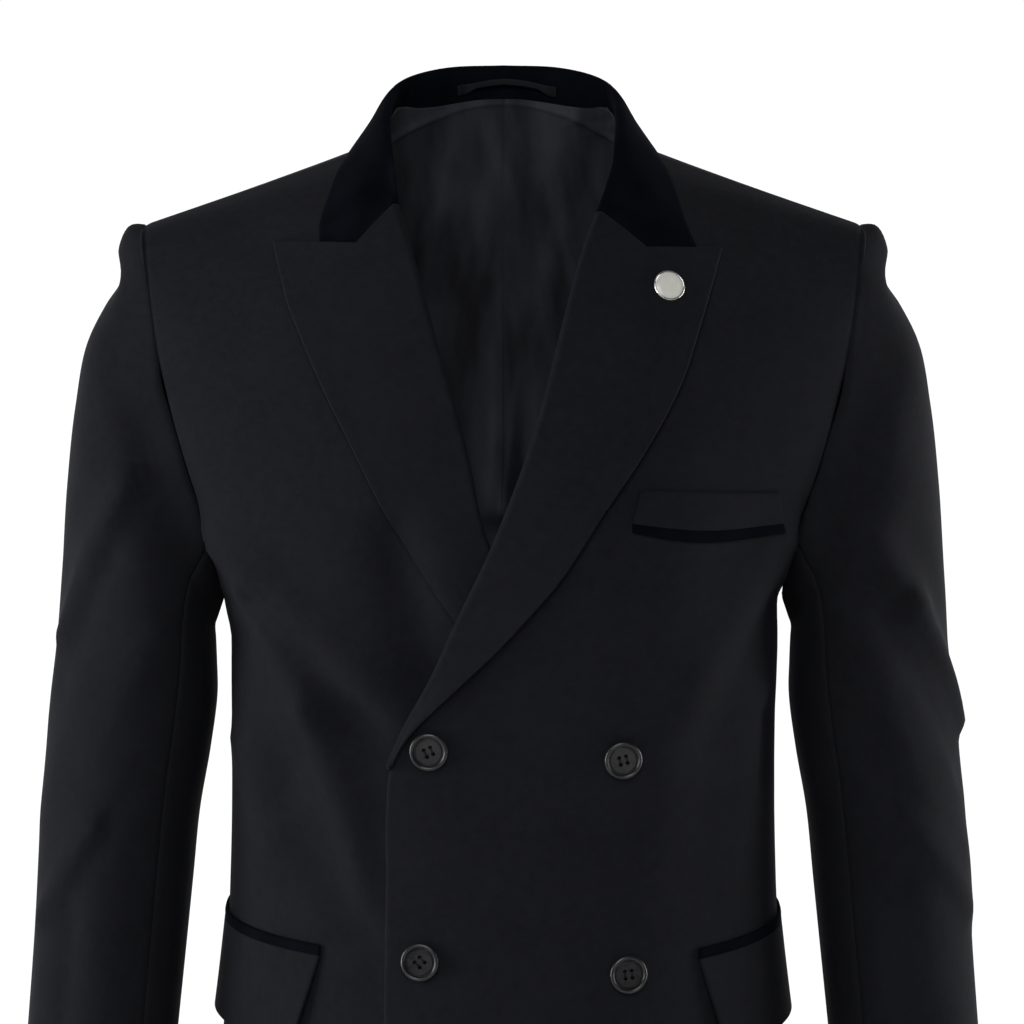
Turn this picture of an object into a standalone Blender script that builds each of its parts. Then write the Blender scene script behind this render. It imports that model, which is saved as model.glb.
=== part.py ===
"""Double-breasted overcoat with a velvet collar, in its worn form and hollow, size M.

Metres. +Z is up, the front faces -Y and the wearer's left is at +X. The origin is the middle of the
neck, level with the neck ends of the shoulder seams. Pieces are shaped for the wearer's left side and
mirrored for the right.
"""

import math
from collections import namedtuple

import bmesh
import bpy
from mathutils import Matrix, Vector

OBJECT = "double_breasted_overcoat"

WOOL = 0.0020
FACING = 0.0015
VELVET = 0.0015
SATIN = 0.0010
ROLL_RADIUS = 0.0034

UNDERARM = 0.285
HEM = 0.900
NECK_X = 0.083

# The body's form, a row per section from the shoulder seam to the hem. "down" is the length down the
# panel; the section runs from the centre line to the edge, which is the armhole and then the side.
Section = namedtuple("Section", "name down centre_y centre_z edge_x edge_y edge_z fullness")
FRONT = (
    Section("shoulder seam", 0.000, -0.005, 0.035, 0.2325, 0.012, -0.0480, 1.00),
    Section("shoulder", 0.020, -0.030, 0.016, 0.2320, -0.006, -0.0550, 1.10),
    Section("yoke", 0.060, -0.066, -0.026, 0.2270, -0.030, -0.0920, 1.35),
    Section("chest top", 0.120, -0.100, -0.095, 0.2165, -0.052, -0.1480, 1.60),
    Section("cross chest", 0.180, -0.119, -0.170, 0.2005, -0.060, -0.2060, 1.85),
    Section("chest", 0.235, -0.126, -0.232, 0.1850, -0.045, -0.2540, 2.15),
    Section("armhole foot", 0.262, -0.1275, -0.262, 0.1825, -0.022, -0.2770, 2.50),
    Section("underarm", 0.285, -0.1275, -0.287, 0.1810, 0.006, -0.2890, 2.85),
    Section("ribs", 0.345, -0.1225, -0.347, 0.1770, 0.006, -0.3470, 2.90),
    Section("waist", 0.410, -0.1185, -0.410, 0.1765, 0.006, -0.4100, 2.65),
    Section("hip", 0.520, -0.1225, -0.520, 0.1800, 0.006, -0.5200, 2.40),
    Section("thigh", 0.700, -0.1320, -0.700, 0.1930, 0.006, -0.7000, 2.20),
    Section("hem", 0.900, -0.1430, -0.900, 0.2085, 0.006, -0.9000, 2.10),
)
BACK = (
    Section("yoke", 0.060, 0.104, -0.030, 0.2270, 0.052, -0.0880, 1.35),
    Section("blade top", 0.120, 0.114, -0.096, 0.2140, 0.079, -0.1440, 1.60),
    Section("blade", 0.180, 0.117, -0.165, 0.2020, 0.086, -0.2040, 1.85),
    Section("low blade", 0.235, 0.113, -0.228, 0.1900, 0.052, -0.2560, 2.15),
    Section("armhole foot", 0.262, 0.109, -0.260, 0.1845, 0.028, -0.2780, 2.50),
    Section("underarm", 0.285, 0.106, -0.287, 0.1810, 0.006, -0.2890, 3.10),
    Section("ribs", 0.345, 0.099, -0.347, 0.1770, 0.006, -0.3470, 2.90),
    Section("waist", 0.410, 0.097, -0.410, 0.1765, 0.006, -0.4100, 2.60),
    Section("seat", 0.520, 0.116, -0.520, 0.1800, 0.006, -0.5200, 2.20),
    Section("thigh", 0.700, 0.128, -0.700, 0.1930, 0.006, -0.7000, 2.15),
    Section("hem", 0.900, 0.138, -0.900, 0.2085, 0.006, -0.9000, 2.10),
)

# The back's top rows follow the neck and then the shoulder.
NeckRow = namedtuple("NeckRow", "down nape_y nape_z neck_x neck_y neck_z edge_x edge_y edge_z")
NECK_ROWS = (
    NeckRow(0.000, 0.079, 0.034, NECK_X, 0.0011, 0.0038, 0.2325, 0.012, -0.0480),
    NeckRow(0.020, 0.091, 0.018, 0.0920, 0.0230, 0.0000, 0.2320, 0.029, -0.0545),
)

# Inner edge of each front by length down: the neck, the roll of the lapel, then the front edge. "over"
# is the left front's x; "under" is the right front's, measured towards the wearer's right.
FrontEdge = namedtuple("FrontEdge", "down over under")
FRONT_EDGE = (
    FrontEdge(0.000, NECK_X, NECK_X),
    FrontEdge(0.030, 0.0740, 0.0760),
    FrontEdge(0.056, 0.0650, 0.0695),
    FrontEdge(0.090, 0.0530, 0.0598),
    FrontEdge(0.134, 0.0396, 0.0460),
    FrontEdge(0.193, 0.0204, 0.0262),
    FrontEdge(0.247, -0.0020, 0.0125),
    FrontEdge(0.295, -0.0268, -0.0130),
    FrontEdge(0.328, -0.0415, -0.0360),
    FrontEdge(0.364, -0.0600, -0.0660),
    FrontEdge(0.385, -0.0680, -0.0800),
    FrontEdge(0.409, -0.0706, -0.0860),
    FrontEdge(0.472, -0.0719, -0.0880),
    FrontEdge(0.900, -0.0750, -0.0900),
)

# Lapels, a row per line across from the roll to the outer edge, from the gorge down.
LapelRow = namedtuple("LapelRow", "roll_down edge_x edge_z")
LAPEL_LEFT = (
    LapelRow(0.064, 0.1383, -0.0655),
    LapelRow(0.085, 0.1334, -0.0800),
    LapelRow(0.110, 0.1272, -0.0985),
    LapelRow(0.140, 0.1198, -0.1210),
    LapelRow(0.170, 0.1115, -0.1450),
    LapelRow(0.200, 0.0985, -0.1710),
    LapelRow(0.230, 0.0810, -0.1990),
    LapelRow(0.260, 0.0610, -0.2280),
    LapelRow(0.290, 0.0343, -0.2698),
    LapelRow(0.315, 0.0030, -0.3047),
    LapelRow(0.340, -0.0253, -0.3324),
    LapelRow(0.366, -0.0545, -0.3630),
)
LAPEL_RIGHT = (
    LapelRow(0.057, 0.1454, -0.0611),
    LapelRow(0.080, 0.1402, -0.0790),
    LapelRow(0.105, 0.1340, -0.0994),
    LapelRow(0.135, 0.1262, -0.1180),
    LapelRow(0.165, 0.1181, -0.1367),
    LapelRow(0.195, 0.1072, -0.1600),
    LapelRow(0.222, 0.0951, -0.1836),
    LapelRow(0.250, 0.0828, -0.2080),
    LapelRow(0.272, 0.0690, -0.2345),
    LapelRow(0.292, 0.0501, -0.2650),
    LapelRow(0.310, 0.0327, -0.2910),
    LapelRow(0.325, 0.0150, -0.3150),
)
Notch = namedtuple("Notch", "notch_x notch_z corner_x corner_z")
NOTCH_LEFT = Notch(0.0896, -0.0638, 0.1215, -0.0640)
NOTCH_RIGHT = Notch(0.0919, -0.0613, 0.1150, -0.0602)
NOTCH_SHARE = 0.42
LAPEL_LEG = 0.006
LAPEL_LIFT = 0.0026
LAPEL_BELLY = 0.0012

# The left front rides over the right one by this much, more where it also covers the right lapel.
LAP_LOW = 0.0032
LAP_HIGH = 0.0092

# Collar fold, a row per place from centre back to the gorge.
FoldRow = namedtuple("FoldRow", "down x y z")
COLLAR_FOLD = (
    FoldRow(0.00, 0.0000, 0.0820, 0.0575),
    FoldRow(0.16, 0.0350, 0.0765, 0.0560),
    FoldRow(0.32, 0.0600, 0.0560, 0.0490),
    FoldRow(0.46, 0.0710, 0.0280, 0.0385),
    FoldRow(0.60, 0.0732, -0.0010, 0.0235),
    FoldRow(0.74, 0.0714, -0.0270, 0.0045),
    FoldRow(0.88, 0.0684, -0.0490, -0.0170),
)
LeafRow = namedtuple("LeafRow", "down x z")
COLLAR_LEAF = (
    LeafRow(0.50, 0.0960, 0.0008),
    LeafRow(0.62, 0.1045, -0.0144),
    LeafRow(0.75, 0.1105, -0.0318),
    LeafRow(0.88, 0.1155, -0.0490),
)
LEAF_BACK = 0.026
COLLAR_LEG = 0.006

# Largest folds, a row each: a soft ridge from start to end, x measured towards its own side.
Fold = namedtuple("Fold", "start_x start_z end_x end_z width start_height end_height")
FOLDS_LEFT = (
    Fold(0.172, -0.262, 0.118, -0.345, 0.020, 0.0045, 0.0010),
    Fold(0.160, -0.345, 0.156, -0.470, 0.016, 0.0035, 0.0015),
    Fold(0.130, -0.640, 0.150, -0.900, 0.040, 0.0000, 0.0090),
)
FOLDS_RIGHT = (
    Fold(0.170, -0.262, 0.080, -0.365, 0.018, 0.0045, 0.0015),
    Fold(0.152, -0.306, 0.090, -0.466, 0.019, 0.0045, 0.0025),
    Fold(0.130, -0.640, 0.150, -0.900, 0.040, 0.0000, 0.0090),
)

# Sleeve form, a row per ring from the armhole to the cuff: outer and inner points as seen from the
# front, with the depths of its front and back; puff is how far the eased head stands out at its top.
Ring = namedtuple("Ring", "down outer_x outer_z inner_x inner_z front_y back_y round puff")
SLEEVE = (
    Ring(0.012, 0.2430, -0.0500, 0.1840, -0.2920, -0.0660, 0.0900, 0.06, 0.0000),
    Ring(0.026, 0.2462, -0.0640, 0.1858, -0.2965, -0.0700, 0.0940, 0.14, 0.0038),
    Ring(0.045, 0.2512, -0.0830, 0.1875, -0.3025, -0.0715, 0.0950, 0.24, -0.0037),
    Ring(0.063, 0.2580, -0.1000, 0.1878, -0.3090, -0.0725, 0.0950, 0.38, 0.0000),
    Ring(0.090, 0.2700, -0.1240, 0.1876, -0.3190, -0.0730, 0.0940, 0.58, 0.0000),
    Ring(0.130, 0.2780, -0.1650, 0.1872, -0.3340, -0.0720, 0.0920, 0.82, 0.0000),
    Ring(0.180, 0.2835, -0.2150, 0.1870, -0.3560, -0.0690, 0.0880, 0.96, 0.0000),
    Ring(0.240, 0.2875, -0.2750, 0.1915, -0.3900, -0.0640, 0.0820, 1.00, 0.0000),
    Ring(0.310, 0.2930, -0.3450, 0.1985, -0.4300, -0.0590, 0.0750, 1.00, 0.0000),
    Ring(0.385, 0.3010, -0.4200, 0.2030, -0.4750, -0.0580, 0.0680, 1.00, 0.0000),
    Ring(0.475, 0.3055, -0.5100, 0.2092, -0.5400, -0.0670, 0.0560, 1.00, 0.0000),
    Ring(0.565, 0.3110, -0.6000, 0.2160, -0.6120, -0.0810, 0.0360, 1.00, 0.0000),
    Ring(0.655, 0.3170, -0.6900, 0.2240, -0.6860, -0.0960, 0.0130, 1.00, 0.0000),
)
FOREARM_SEAM = 128.0
HINDARM_SEAM = -115.0
SLEEVE_START = 0.0016
SLEEVE_RADIUS = 0.056
SleeveFold = namedtuple("SleeveFold", "start_turn start_z end_turn end_z width height")
SLEEVE_FOLDS_LEFT = (
    SleeveFold(90.0, -0.250, 30.0, -0.350, 0.016, 0.0040),
    SleeveFold(80.0, -0.430, 25.0, -0.490, 0.016, 0.0040),
)
SLEEVE_FOLDS_RIGHT = (
    SleeveFold(80.0, -0.222, 38.0, -0.305, 0.015, 0.0055),
    SleeveFold(76.0, -0.445, 40.0, -0.490, 0.016, 0.0045),
)

# Pockets on the fronts. Flaps go round the side, so their ends are given as turns.
Flap = namedtuple("Flap", "front_turn rear_turn front_z rear_z")
FLAP_LEFT = Flap(42.8, 103.0, -0.5110, -0.4950)
FLAP_RIGHT = Flap(39.8, 103.0, -0.5085, -0.4935)
FLAP_DEPTH = 0.058
FLAP_LEAN = 6.0
TRIM = 0.0062
Welt = namedtuple("Welt", "inner_x outer_x inner_z outer_z sag")
WELT_TOP = Welt(0.0835, 0.1735, -0.2163, -0.2180, 0.000)
WELT_FOOT = Welt(0.0788, 0.1722, -0.2353, -0.2352, 0.0045)
WELT_TRIM = 0.0072
POCKET_LIFT = 0.0007

# Buttons and pin. turn is how far each was left turned when sewn on, in degrees; seat is its height
# over the front's form.
Button = namedtuple("Button", "name x z turn seat")
BUTTONS = (
    Button("button_upper_right", -0.0453, -0.3755, 25.0, 0.0005),
    Button("button_upper_left", 0.0733, -0.3812, 14.0, -0.0002),
    Button("button_lower_right", -0.0511, -0.5094, 45.0, 0.0005),
    Button("button_lower_left", 0.0773, -0.5178, 6.0, -0.0002),
)
BUTTON_PROFILE = (
    (0.0000, 0.0000), (0.0080, 0.0000), (0.0112, 0.0012), (0.0120, 0.0024),
    (0.0116, 0.0038), (0.0106, 0.0043), (0.0094, 0.0040), (0.0084, 0.0031), (0.0000, 0.0029),
)
BUTTON_HOLE = 0.0011
BUTTON_PITCH = 0.0034
PIN_PLACE = (0.1032, -0.0899)
PIN_PROFILE = (
    (0.0000, 0.0000), (0.0094, 0.0000), (0.0102, 0.0006), (0.0102, 0.0014),
    (0.0096, 0.0019), (0.0088, 0.0014), (0.0000, 0.0014),
)
PIN_SEAT = 0.0004

# Strap inside the collar stand, by its share of the way along the collar and up the stand.
LOOP_START = -0.127
LOOP_END = 0.150
LOOP_WIDTH = 0.0065
LOOP_BOW = 0.0025

LINING_TOP = 0.0078
LINING_ROWS = 12
LINING_GAP = 0.0005

# How far behind the widest line the side seam runs, in degrees, by length down.
SideSeam = namedtuple("SideSeam", "down turn")
SIDE_SEAM = (
    SideSeam(0.000, 90.0),
    SideSeam(0.285, 90.0),
    SideSeam(0.345, 97.0),
    SideSeam(0.420, 104.0),
    SideSeam(0.900, 106.0),
)


def smooth(rows, column, at):
    """The table column read at a length between its rows, on a curve through them all."""
    knots = [row.down for row in rows]
    values = [getattr(row, column) for row in rows]
    return curve(knots, values, at)


def curve(knots, values, at):
    """Cubic through the values, each knot's slope taken from the spans beside it."""
    last = len(knots) - 1
    at = min(max(at, knots[0]), knots[last])
    span = 0
    while span < last - 1 and at > knots[span + 1]:
        span += 1

    def rise(i):
        return (values[i + 1] - values[i]) / (knots[i + 1] - knots[i])

    def slope(i):
        if i == 0:
            return rise(0)
        if i == last:
            return rise(last - 1)
        before = knots[i] - knots[i - 1]
        after = knots[i + 1] - knots[i]
        return (rise(i - 1) * after + rise(i) * before) / (before + after)

    length = knots[span + 1] - knots[span]
    t = (at - knots[span]) / length
    ease = t * t * (3.0 - 2.0 * t)
    leave = (t - 2.0 * t * t + t ** 3) * length * slope(span)
    arrive = (t ** 3 - t * t) * length * slope(span + 1)
    return values[span] + (values[span + 1] - values[span]) * ease + leave + arrive


def step(start, end, at):
    """Soft step from 0 at start to 1 at end."""
    t = min(max((at - start) / (end - start), 0.0), 1.0)
    return t * t * (3.0 - 2.0 * t)


def edge_rows(down, turn):
    """The table that gives the edge: both panels share the side below the underarm."""
    return FRONT if turn <= 90.0 or down >= UNDERARM else BACK


def section_point(rows, down, turn, from_centre):
    edges = edge_rows(down, turn)
    edge = [smooth(edges, name, down) for name in ("edge_x", "edge_y", "edge_z")]
    across = math.sin(math.radians(from_centre))
    share = min(abs(across), 1.0)
    fullness = smooth(rows, "fullness", down)
    bow = max(1.0 - share ** fullness, 0.0) ** (1.0 / fullness)
    centre_y = smooth(rows, "centre_y", down)
    centre_z = smooth(rows, "centre_z", down)
    return Vector((
        edge[0] * across,
        edge[1] + (centre_y - edge[1]) * bow,
        centre_z + (edge[2] - centre_z) * share ** (0.95 + 0.65 * step(0.0, 0.12, down)),
    ))


def neck_row_point(row, from_centre):
    x = row.edge_x * math.sin(math.radians(from_centre))
    if x < row.neck_x:
        arc = math.sqrt(1.0 - (x / row.neck_x) ** 2)
        y = row.neck_y + (row.nape_y - row.neck_y) * arc
        z = row.neck_z + (row.nape_z - row.neck_z) * arc ** 2
    elif row.down == 0.0:
        return section_point(FRONT, 0.0, from_centre, from_centre)
    else:
        along = (x - row.neck_x) / (row.edge_x - row.neck_x)
        y = row.neck_y + (row.edge_y - row.neck_y) * along
        z = row.neck_z + (row.edge_z - row.neck_z) * along
    return Vector((x, y, z))


def body(down, turn):
    """Point of the body's form: turn is 0 at centre front, 90 at the side and 180 at centre back."""
    if turn <= 90.0:
        return section_point(FRONT, down, turn, turn)
    from_centre = 180.0 - turn
    yoke = BACK[0].down
    if down >= yoke:
        return section_point(BACK, down, turn, from_centre)
    top, shoulder = (neck_row_point(row, from_centre) for row in NECK_ROWS)
    low = section_point(BACK, yoke, turn, from_centre)
    knots = [row.down for row in NECK_ROWS] + [yoke]
    points = (top, shoulder, low)
    return Vector([curve(knots, [p[axis] for p in points], down) for axis in range(3)])


def find_down(turn_at, z):
    """Length down at which the form, at the turn that turn_at gives, is at height z."""
    low, high = 0.0, HEM
    for _ in range(40):
        middle = 0.5 * (low + high)
        if body(middle, turn_at(middle)).z > z:
            low = middle
        else:
            high = middle
    return 0.5 * (low + high)


def front_spot(x, z):
    """(down, turn) of the front's point at this x and z."""

    def turn_at(down):
        share = x / smooth(FRONT, "edge_x", down)
        return math.degrees(math.asin(min(max(share, -1.0), 1.0)))

    down = find_down(turn_at, z)
    return down, turn_at(down)


def slopes(surface, u, v, du, dv, u_range, v_range):
    """Unit normal candidate of a surface by differences that stay inside its ranges."""
    u0, u1 = max(u - du, u_range[0]), min(u + du, u_range[1])
    v0, v1 = max(v - dv, v_range[0]), min(v + dv, v_range[1])
    along_u = surface(u1, v) - surface(u0, v)
    along_v = surface(u, v1) - surface(u, v0)
    return along_v.cross(along_u).normalized()


def body_normal(down, turn):
    """Outward normal of the form, shared by front and back along the shoulder seam."""
    turn_range = (-60.0, 90.0) if turn <= 90.0 else (90.001, 180.0)
    if down >= UNDERARM:
        turn_range = (-60.0, 180.0)
    away = slopes(lambda t, d: body(d, t), turn, down, 1.5, 0.002, turn_range, (0.0, HEM))
    near = 1.0 - step(0.0, 0.03, down)
    if near == 0.0 or turn < 15.0 or turn > 160.0:
        return away
    other = 180.0 - turn
    other_range = (90.001, 180.0) if turn <= 90.0 else (-60.0, 90.0)
    across = slopes(lambda t, d: body(d, t), other, 0.0, 1.5, 0.002, other_range, (0.0, HEM))
    return (away + across * near).normalized()


def fold_height(folds, x, z):
    """Height of the soft ridges at a place on a front."""
    total = 0.0
    for fold in folds:
        start = Vector((fold.start_x, fold.start_z))
        run = Vector((fold.end_x, fold.end_z)) - start
        place = Vector((x, z)) - start
        along = min(max(place.dot(run) / run.length_squared, 0.0), 1.0)
        height = fold.start_height + (fold.end_height - fold.start_height) * along
        apart = (place - run * along).length
        total += height * math.exp(-((apart / fold.width) ** 2))
    return total


def overlap(x, z):
    """How far the left front rides over what lies under it."""
    stack = LAP_LOW + (LAP_HIGH - LAP_LOW) * step(-0.46, -0.37, z)
    return stack * (1.0 - step(-0.235, -0.12, z)) * (1.0 - step(0.095, 0.185, x))


class Front:
    """One front: its folds, its lap and the edge it is cut to."""

    def __init__(self, edge_column, folds, laps):
        self.edge_column = edge_column
        self.folds = folds
        self.laps = laps

    def at(self, down, turn, lift=0.0):
        point = body(down, turn)
        away = body_normal(down, turn)
        rise = fold_height(self.folds, point.x, point.z)
        if self.laps:
            rise += overlap(point.x, point.z)
        return point + away * (rise + lift)

    def edge_turn(self, down):
        share = smooth(FRONT_EDGE, self.edge_column, down) / smooth(FRONT, "edge_x", down)
        return math.degrees(math.asin(share))

    def spot(self, x, z, lift=0.0):
        return self.at(*front_spot(x, z), lift)

    def edge_frame(self, down):
        """The edge's point, its normal and the way into the panel."""
        turn = self.edge_turn(down)
        point = self.at(down, turn)
        inward = (self.at(down, turn + 2.0) - point).normalized()
        return point, body_normal(down, turn), inward


LEFT_FRONT = Front("over", FOLDS_LEFT, True)
RIGHT_FRONT = Front("under", FOLDS_RIGHT, False)


def spaced(*stops):
    """Grid lines: each stop is (start, end, count)."""
    lines = [stops[0][0]]
    for start, end, count in stops:
        lines += [start + (end - start) * (i + 1) / count for i in range(count)]
    return lines


def mirrored(point):
    return Vector((-point.x, point.y, point.z))


def cloth(name, us, vs, outside, thickness, material, side=1, inward=False, normal=None):
    """Wall of cloth: a grid moved to outside(u, v), and a second layer one thickness behind it."""

    def facing(u, v):
        if normal:
            return normal(u, v)
        du = 0.02 * (us[-1] - us[0])
        dv = 0.02 * (vs[-1] - vs[0])
        away = slopes(outside, u, v, du, dv, (us[0], us[-1]), (vs[0], vs[-1]))
        return -away if inward else away

    grid = bmesh.new()
    columns, rows = len(us) - 1, len(vs) - 1
    bmesh.ops.create_grid(grid, x_segments=columns, y_segments=rows, size=0.5)
    layer = bmesh.ops.extrude_face_region(grid, geom=grid.faces[:])
    behind = {item for item in layer["geom"] if isinstance(item, bmesh.types.BMVert)}
    for vert in grid.verts:
        u = us[round((vert.co.x + 0.5) * columns)]
        v = vs[round((vert.co.y + 0.5) * rows)]
        place = outside(u, v)
        if vert in behind:
            place = place - facing(u, v) * thickness
        vert.co = place if side > 0 else mirrored(place)
    bmesh.ops.recalc_face_normals(grid, faces=grid.faces[:])
    mesh = bpy.data.meshes.new(name)
    grid.to_mesh(mesh)
    grid.free()
    return placed(name, mesh, material)


def placed(name, mesh, material):
    mesh.materials.clear()
    mesh.materials.append(material)
    piece = bpy.data.objects.new(name, mesh)
    COAT.objects.link(piece)
    return piece


def surface_material(name, colour, roughness, sheen=0.0, metallic=0.0):
    material = bpy.data.materials.new(name)
    material.use_nodes = True
    shader = material.node_tree.nodes["Principled BSDF"]
    shader.inputs["Base Color"].default_value = (*colour, 1.0)
    shader.inputs["Roughness"].default_value = roughness
    shader.inputs["Sheen Weight"].default_value = sheen
    shader.inputs["Metallic"].default_value = metallic
    return material


SKIRT_ROWS = spaced((UNDERARM, 0.52, 9), (0.52, HEM, 4))[1:]


def front_panel(name, front, side):
    def outside(u, down):
        start = front.edge_turn(down)
        end = curve([r.down for r in SIDE_SEAM], [r.turn for r in SIDE_SEAM], down)
        if down >= UNDERARM:
            end -= 0.10
        turn = start + (end - start) * u
        return front.at(max(down, 0.0002), turn)

    def normal(u, down):
        start = front.edge_turn(down)
        end = curve([r.down for r in SIDE_SEAM], [r.turn for r in SIDE_SEAM], down)
        return body_normal(max(down, 0.0002), start + (end - start) * u)

    rows = spaced((0.0, 0.0640, 5), (0.0640, UNDERARM, 8)) + SKIRT_ROWS
    cloth(name, spaced((0.0, 1.0, 12)), rows, outside, WOOL, wool, side, normal=normal)


BACK_COLUMNS = spaced((0.0, 0.40, 6), (0.40, 1.0, 6))
BACK_ROWS = spaced((0.0, LINING_TOP, 1), (LINING_TOP, 0.0600, 2), (0.0600, UNDERARM, 5)) + SKIRT_ROWS


def back_turn(u, down):
    """Columns of the back: even round the neck, then even to the edge."""
    neck_share = 0.40
    neck_turn = math.degrees(math.asin(NECK_X / NECK_ROWS[0].edge_x))
    edge = curve([r.down for r in SIDE_SEAM], [r.turn for r in SIDE_SEAM], down)
    if u <= neck_share:
        around = math.radians(90.0 * u / neck_share)
        x = NECK_X * math.sin(around)
        return 180.0 - max(math.degrees(math.asin(x / NECK_ROWS[0].edge_x)), 0.04)
    end = 180.0 - max(edge + 0.10, 90.02)
    return 180.0 - (neck_turn + (end - neck_turn) * (u - neck_share) / (1.0 - neck_share))


def back_folds(down, turn):
    """Soft flutes of the skirt behind."""
    return 0.006 * step(0.50, 0.90, down) * math.cos(math.radians((turn - 180.0) * 5.0))


def back_at(down, turn, lift=0.0):
    rise = back_folds(down, turn) * step(106.0, 125.0, turn)
    return body(down, turn) + body_normal(down, turn) * (rise + lift)


def back_panel(name, side):
    def outside(u, down):
        return back_at(max(down, 0.0002), back_turn(u, down))

    def normal(u, down):
        return body_normal(max(down, 0.0002), back_turn(u, down))

    cloth(name, BACK_COLUMNS, BACK_ROWS, outside, WOOL, wool, side, normal=normal)


def back_lining(name, side, centre):
    """Half of the back's lining, one layer inside the back panel; its seam runs beside the back's."""
    depth = -(WOOL + LINING_GAP + SATIN)

    def place(u, down):
        return back_turn(u, down) if u > 0.0 else centre

    def outside(u, down):
        return back_at(down, place(u, down), depth)

    def normal(u, down):
        return -body_normal(down, place(u, down))

    columns, rows = BACK_COLUMNS[:-1], BACK_ROWS[1:LINING_ROWS]
    cloth(name, columns, rows, outside, SATIN, satin, side, normal=normal)


def armhole(turn):
    """Point and normal of the body's edge where the sleeve's column at this turn starts."""
    down = UNDERARM * 0.5 * (1.0 - math.cos(math.radians(turn)))
    edge = 90.0 if turn >= 0.0 else 90.02
    return body(down, edge), body_normal(down, edge)


def sleeve_point(turn, down):
    """Point of the sleeve: turn is 0 at the outer side, 90 at the front and 180 underneath."""
    wrapped = turn if turn <= 180.0 else turn - 360.0
    cos, sin = math.cos(math.radians(turn)), math.sin(math.radians(turn))
    start = armhole(wrapped)[0]
    head, foot = armhole(0.0)[0], armhole(180.0)[0]
    points = [start]
    for ring in SLEEVE:
        outer = Vector((ring.outer_x, 0.0, ring.outer_z))
        inner = Vector((ring.inner_x, 0.0, ring.inner_z))
        oval = 0.5 * (outer + inner) + 0.5 * (outer - inner) * cos
        oval.y = 0.5 * (ring.front_y + ring.back_y) - 0.5 * (ring.back_y - ring.front_y) * sin
        moved = (outer - head) * (0.5 + 0.5 * cos) + (inner - foot) * (0.5 - 0.5 * cos)
        moved.y = 0.0
        puffed = Vector((ring.puff * (0.5 + 0.5 * cos) ** 6, 0.0, 0.0))
        points.append((start + moved).lerp(oval, ring.round) + puffed)
    knots = [0.0] + [ring.down for ring in SLEEVE]
    return Vector([curve(knots, [p[axis] for p in points], down) for axis in range(3)])


def sleeve_normal(turn, down):
    away = -slopes(sleeve_point, turn, down, 3.0, 0.004, (-180.0, 360.0), (0.0, SLEEVE[-1].down))
    wrapped = turn if turn <= 180.0 else turn - 360.0
    shared = (1.0 - step(60.0, 120.0, abs(wrapped))) * (1.0 - step(0.0, 0.025, down))
    if shared == 0.0:
        return away
    return (away * (1.0 - shared) + armhole(wrapped)[1] * shared).normalized()


def sleeve_fold_height(folds, turn, z):
    total = 0.0
    for fold in folds:
        start = Vector((math.radians(fold.start_turn) * SLEEVE_RADIUS, fold.start_z))
        run = Vector((math.radians(fold.end_turn) * SLEEVE_RADIUS, fold.end_z)) - start
        place = Vector((math.radians(turn) * SLEEVE_RADIUS, z)) - start
        along = min(max(place.dot(run) / run.length_squared, 0.0), 1.0)
        apart = (place - run * along).length
        total += fold.height * math.exp(-((apart / fold.width) ** 2))
    return total


def sleeve_piece(name, start, end, columns, folds, side):
    def outside(turn, down):
        point = sleeve_point(turn, down)
        rise = sleeve_fold_height(folds, turn, point.z)
        return point + sleeve_normal(turn, down) * rise

    rows = spaced((SLEEVE_START, 0.063, 5), (0.063, 0.475, 15), (0.475, SLEEVE[-1].down, 3))
    cloth(name, spaced((start, end, columns)), rows, outside, WOOL, wool, side, normal=sleeve_normal)


def roll_point(front, down, share):
    """Point of the rolled edge: share 0 is inside the coat, 0.5 the outermost line, 1 on the outside."""
    point, away, inward = front.edge_frame(down)
    around = math.pi * share
    middle = point - away * (0.5 * WOOL)
    return middle + (away * -math.cos(around) - inward * math.sin(around)) * ROLL_RADIUS


def lapel(name, front, table, notch, side):
    """Facing turned over the front's edge: a short leg inside, the roll, then the lapel's face."""
    knots = [i / (len(table) - 1) for i in range(len(table))]
    top = front.at(table[0].roll_down, front.edge_turn(table[0].roll_down))

    def face(u, v):
        down = curve(knots, [row.roll_down for row in table], v)
        edge_x = curve(knots, [row.edge_x for row in table], v)
        edge_z = curve(knots, [row.edge_z for row in table], v)
        roll = front.at(down, front.edge_turn(down))
        x = roll.x + (edge_x - roll.x) * u
        z = roll.z + (edge_z - roll.z) * u
        bend = max(1.0 - v / 0.30, 0.0) ** 2
        tent = u / NOTCH_SHARE if u < NOTCH_SHARE else (1.0 - u) / (1.0 - NOTCH_SHARE)
        straight_x = top.x + (table[0].edge_x - top.x) * NOTCH_SHARE
        straight_z = top.z + (table[0].edge_z - top.z) * NOTCH_SHARE
        x += (notch.notch_x - straight_x) * bend * tent
        z += (notch.notch_z - 0.0016 - straight_z) * bend * tent
        return front.spot(x, z, LAPEL_LIFT + LAPEL_BELLY * math.sin(math.pi * u))

    def outside(u, v):
        down = curve(knots, [row.roll_down for row in table], v)
        if u < 0.0:
            point, away, inward = front.edge_frame(down)
            return point - away * (0.5 * WOOL + ROLL_RADIUS) - inward * (u * LAPEL_LEG)
        if u <= 1.0:
            return roll_point(front, down, u)
        start = roll_point(front, down, 1.0)
        blend = step(1.0, 1.25, u)
        return start.lerp(face(max(u - 1.0, 0.04), v), blend) if u < 1.25 else face(u - 1.0, v)

    us = spaced((-1.0, 0.0, 1), (0.0, 1.0, 5), (1.0, 1.0 + NOTCH_SHARE, 4), (1.0 + NOTCH_SHARE, 2.0, 4))
    cloth(name, us, spaced((0.0, 1.0, 16)), outside, FACING, wool, side)


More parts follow.
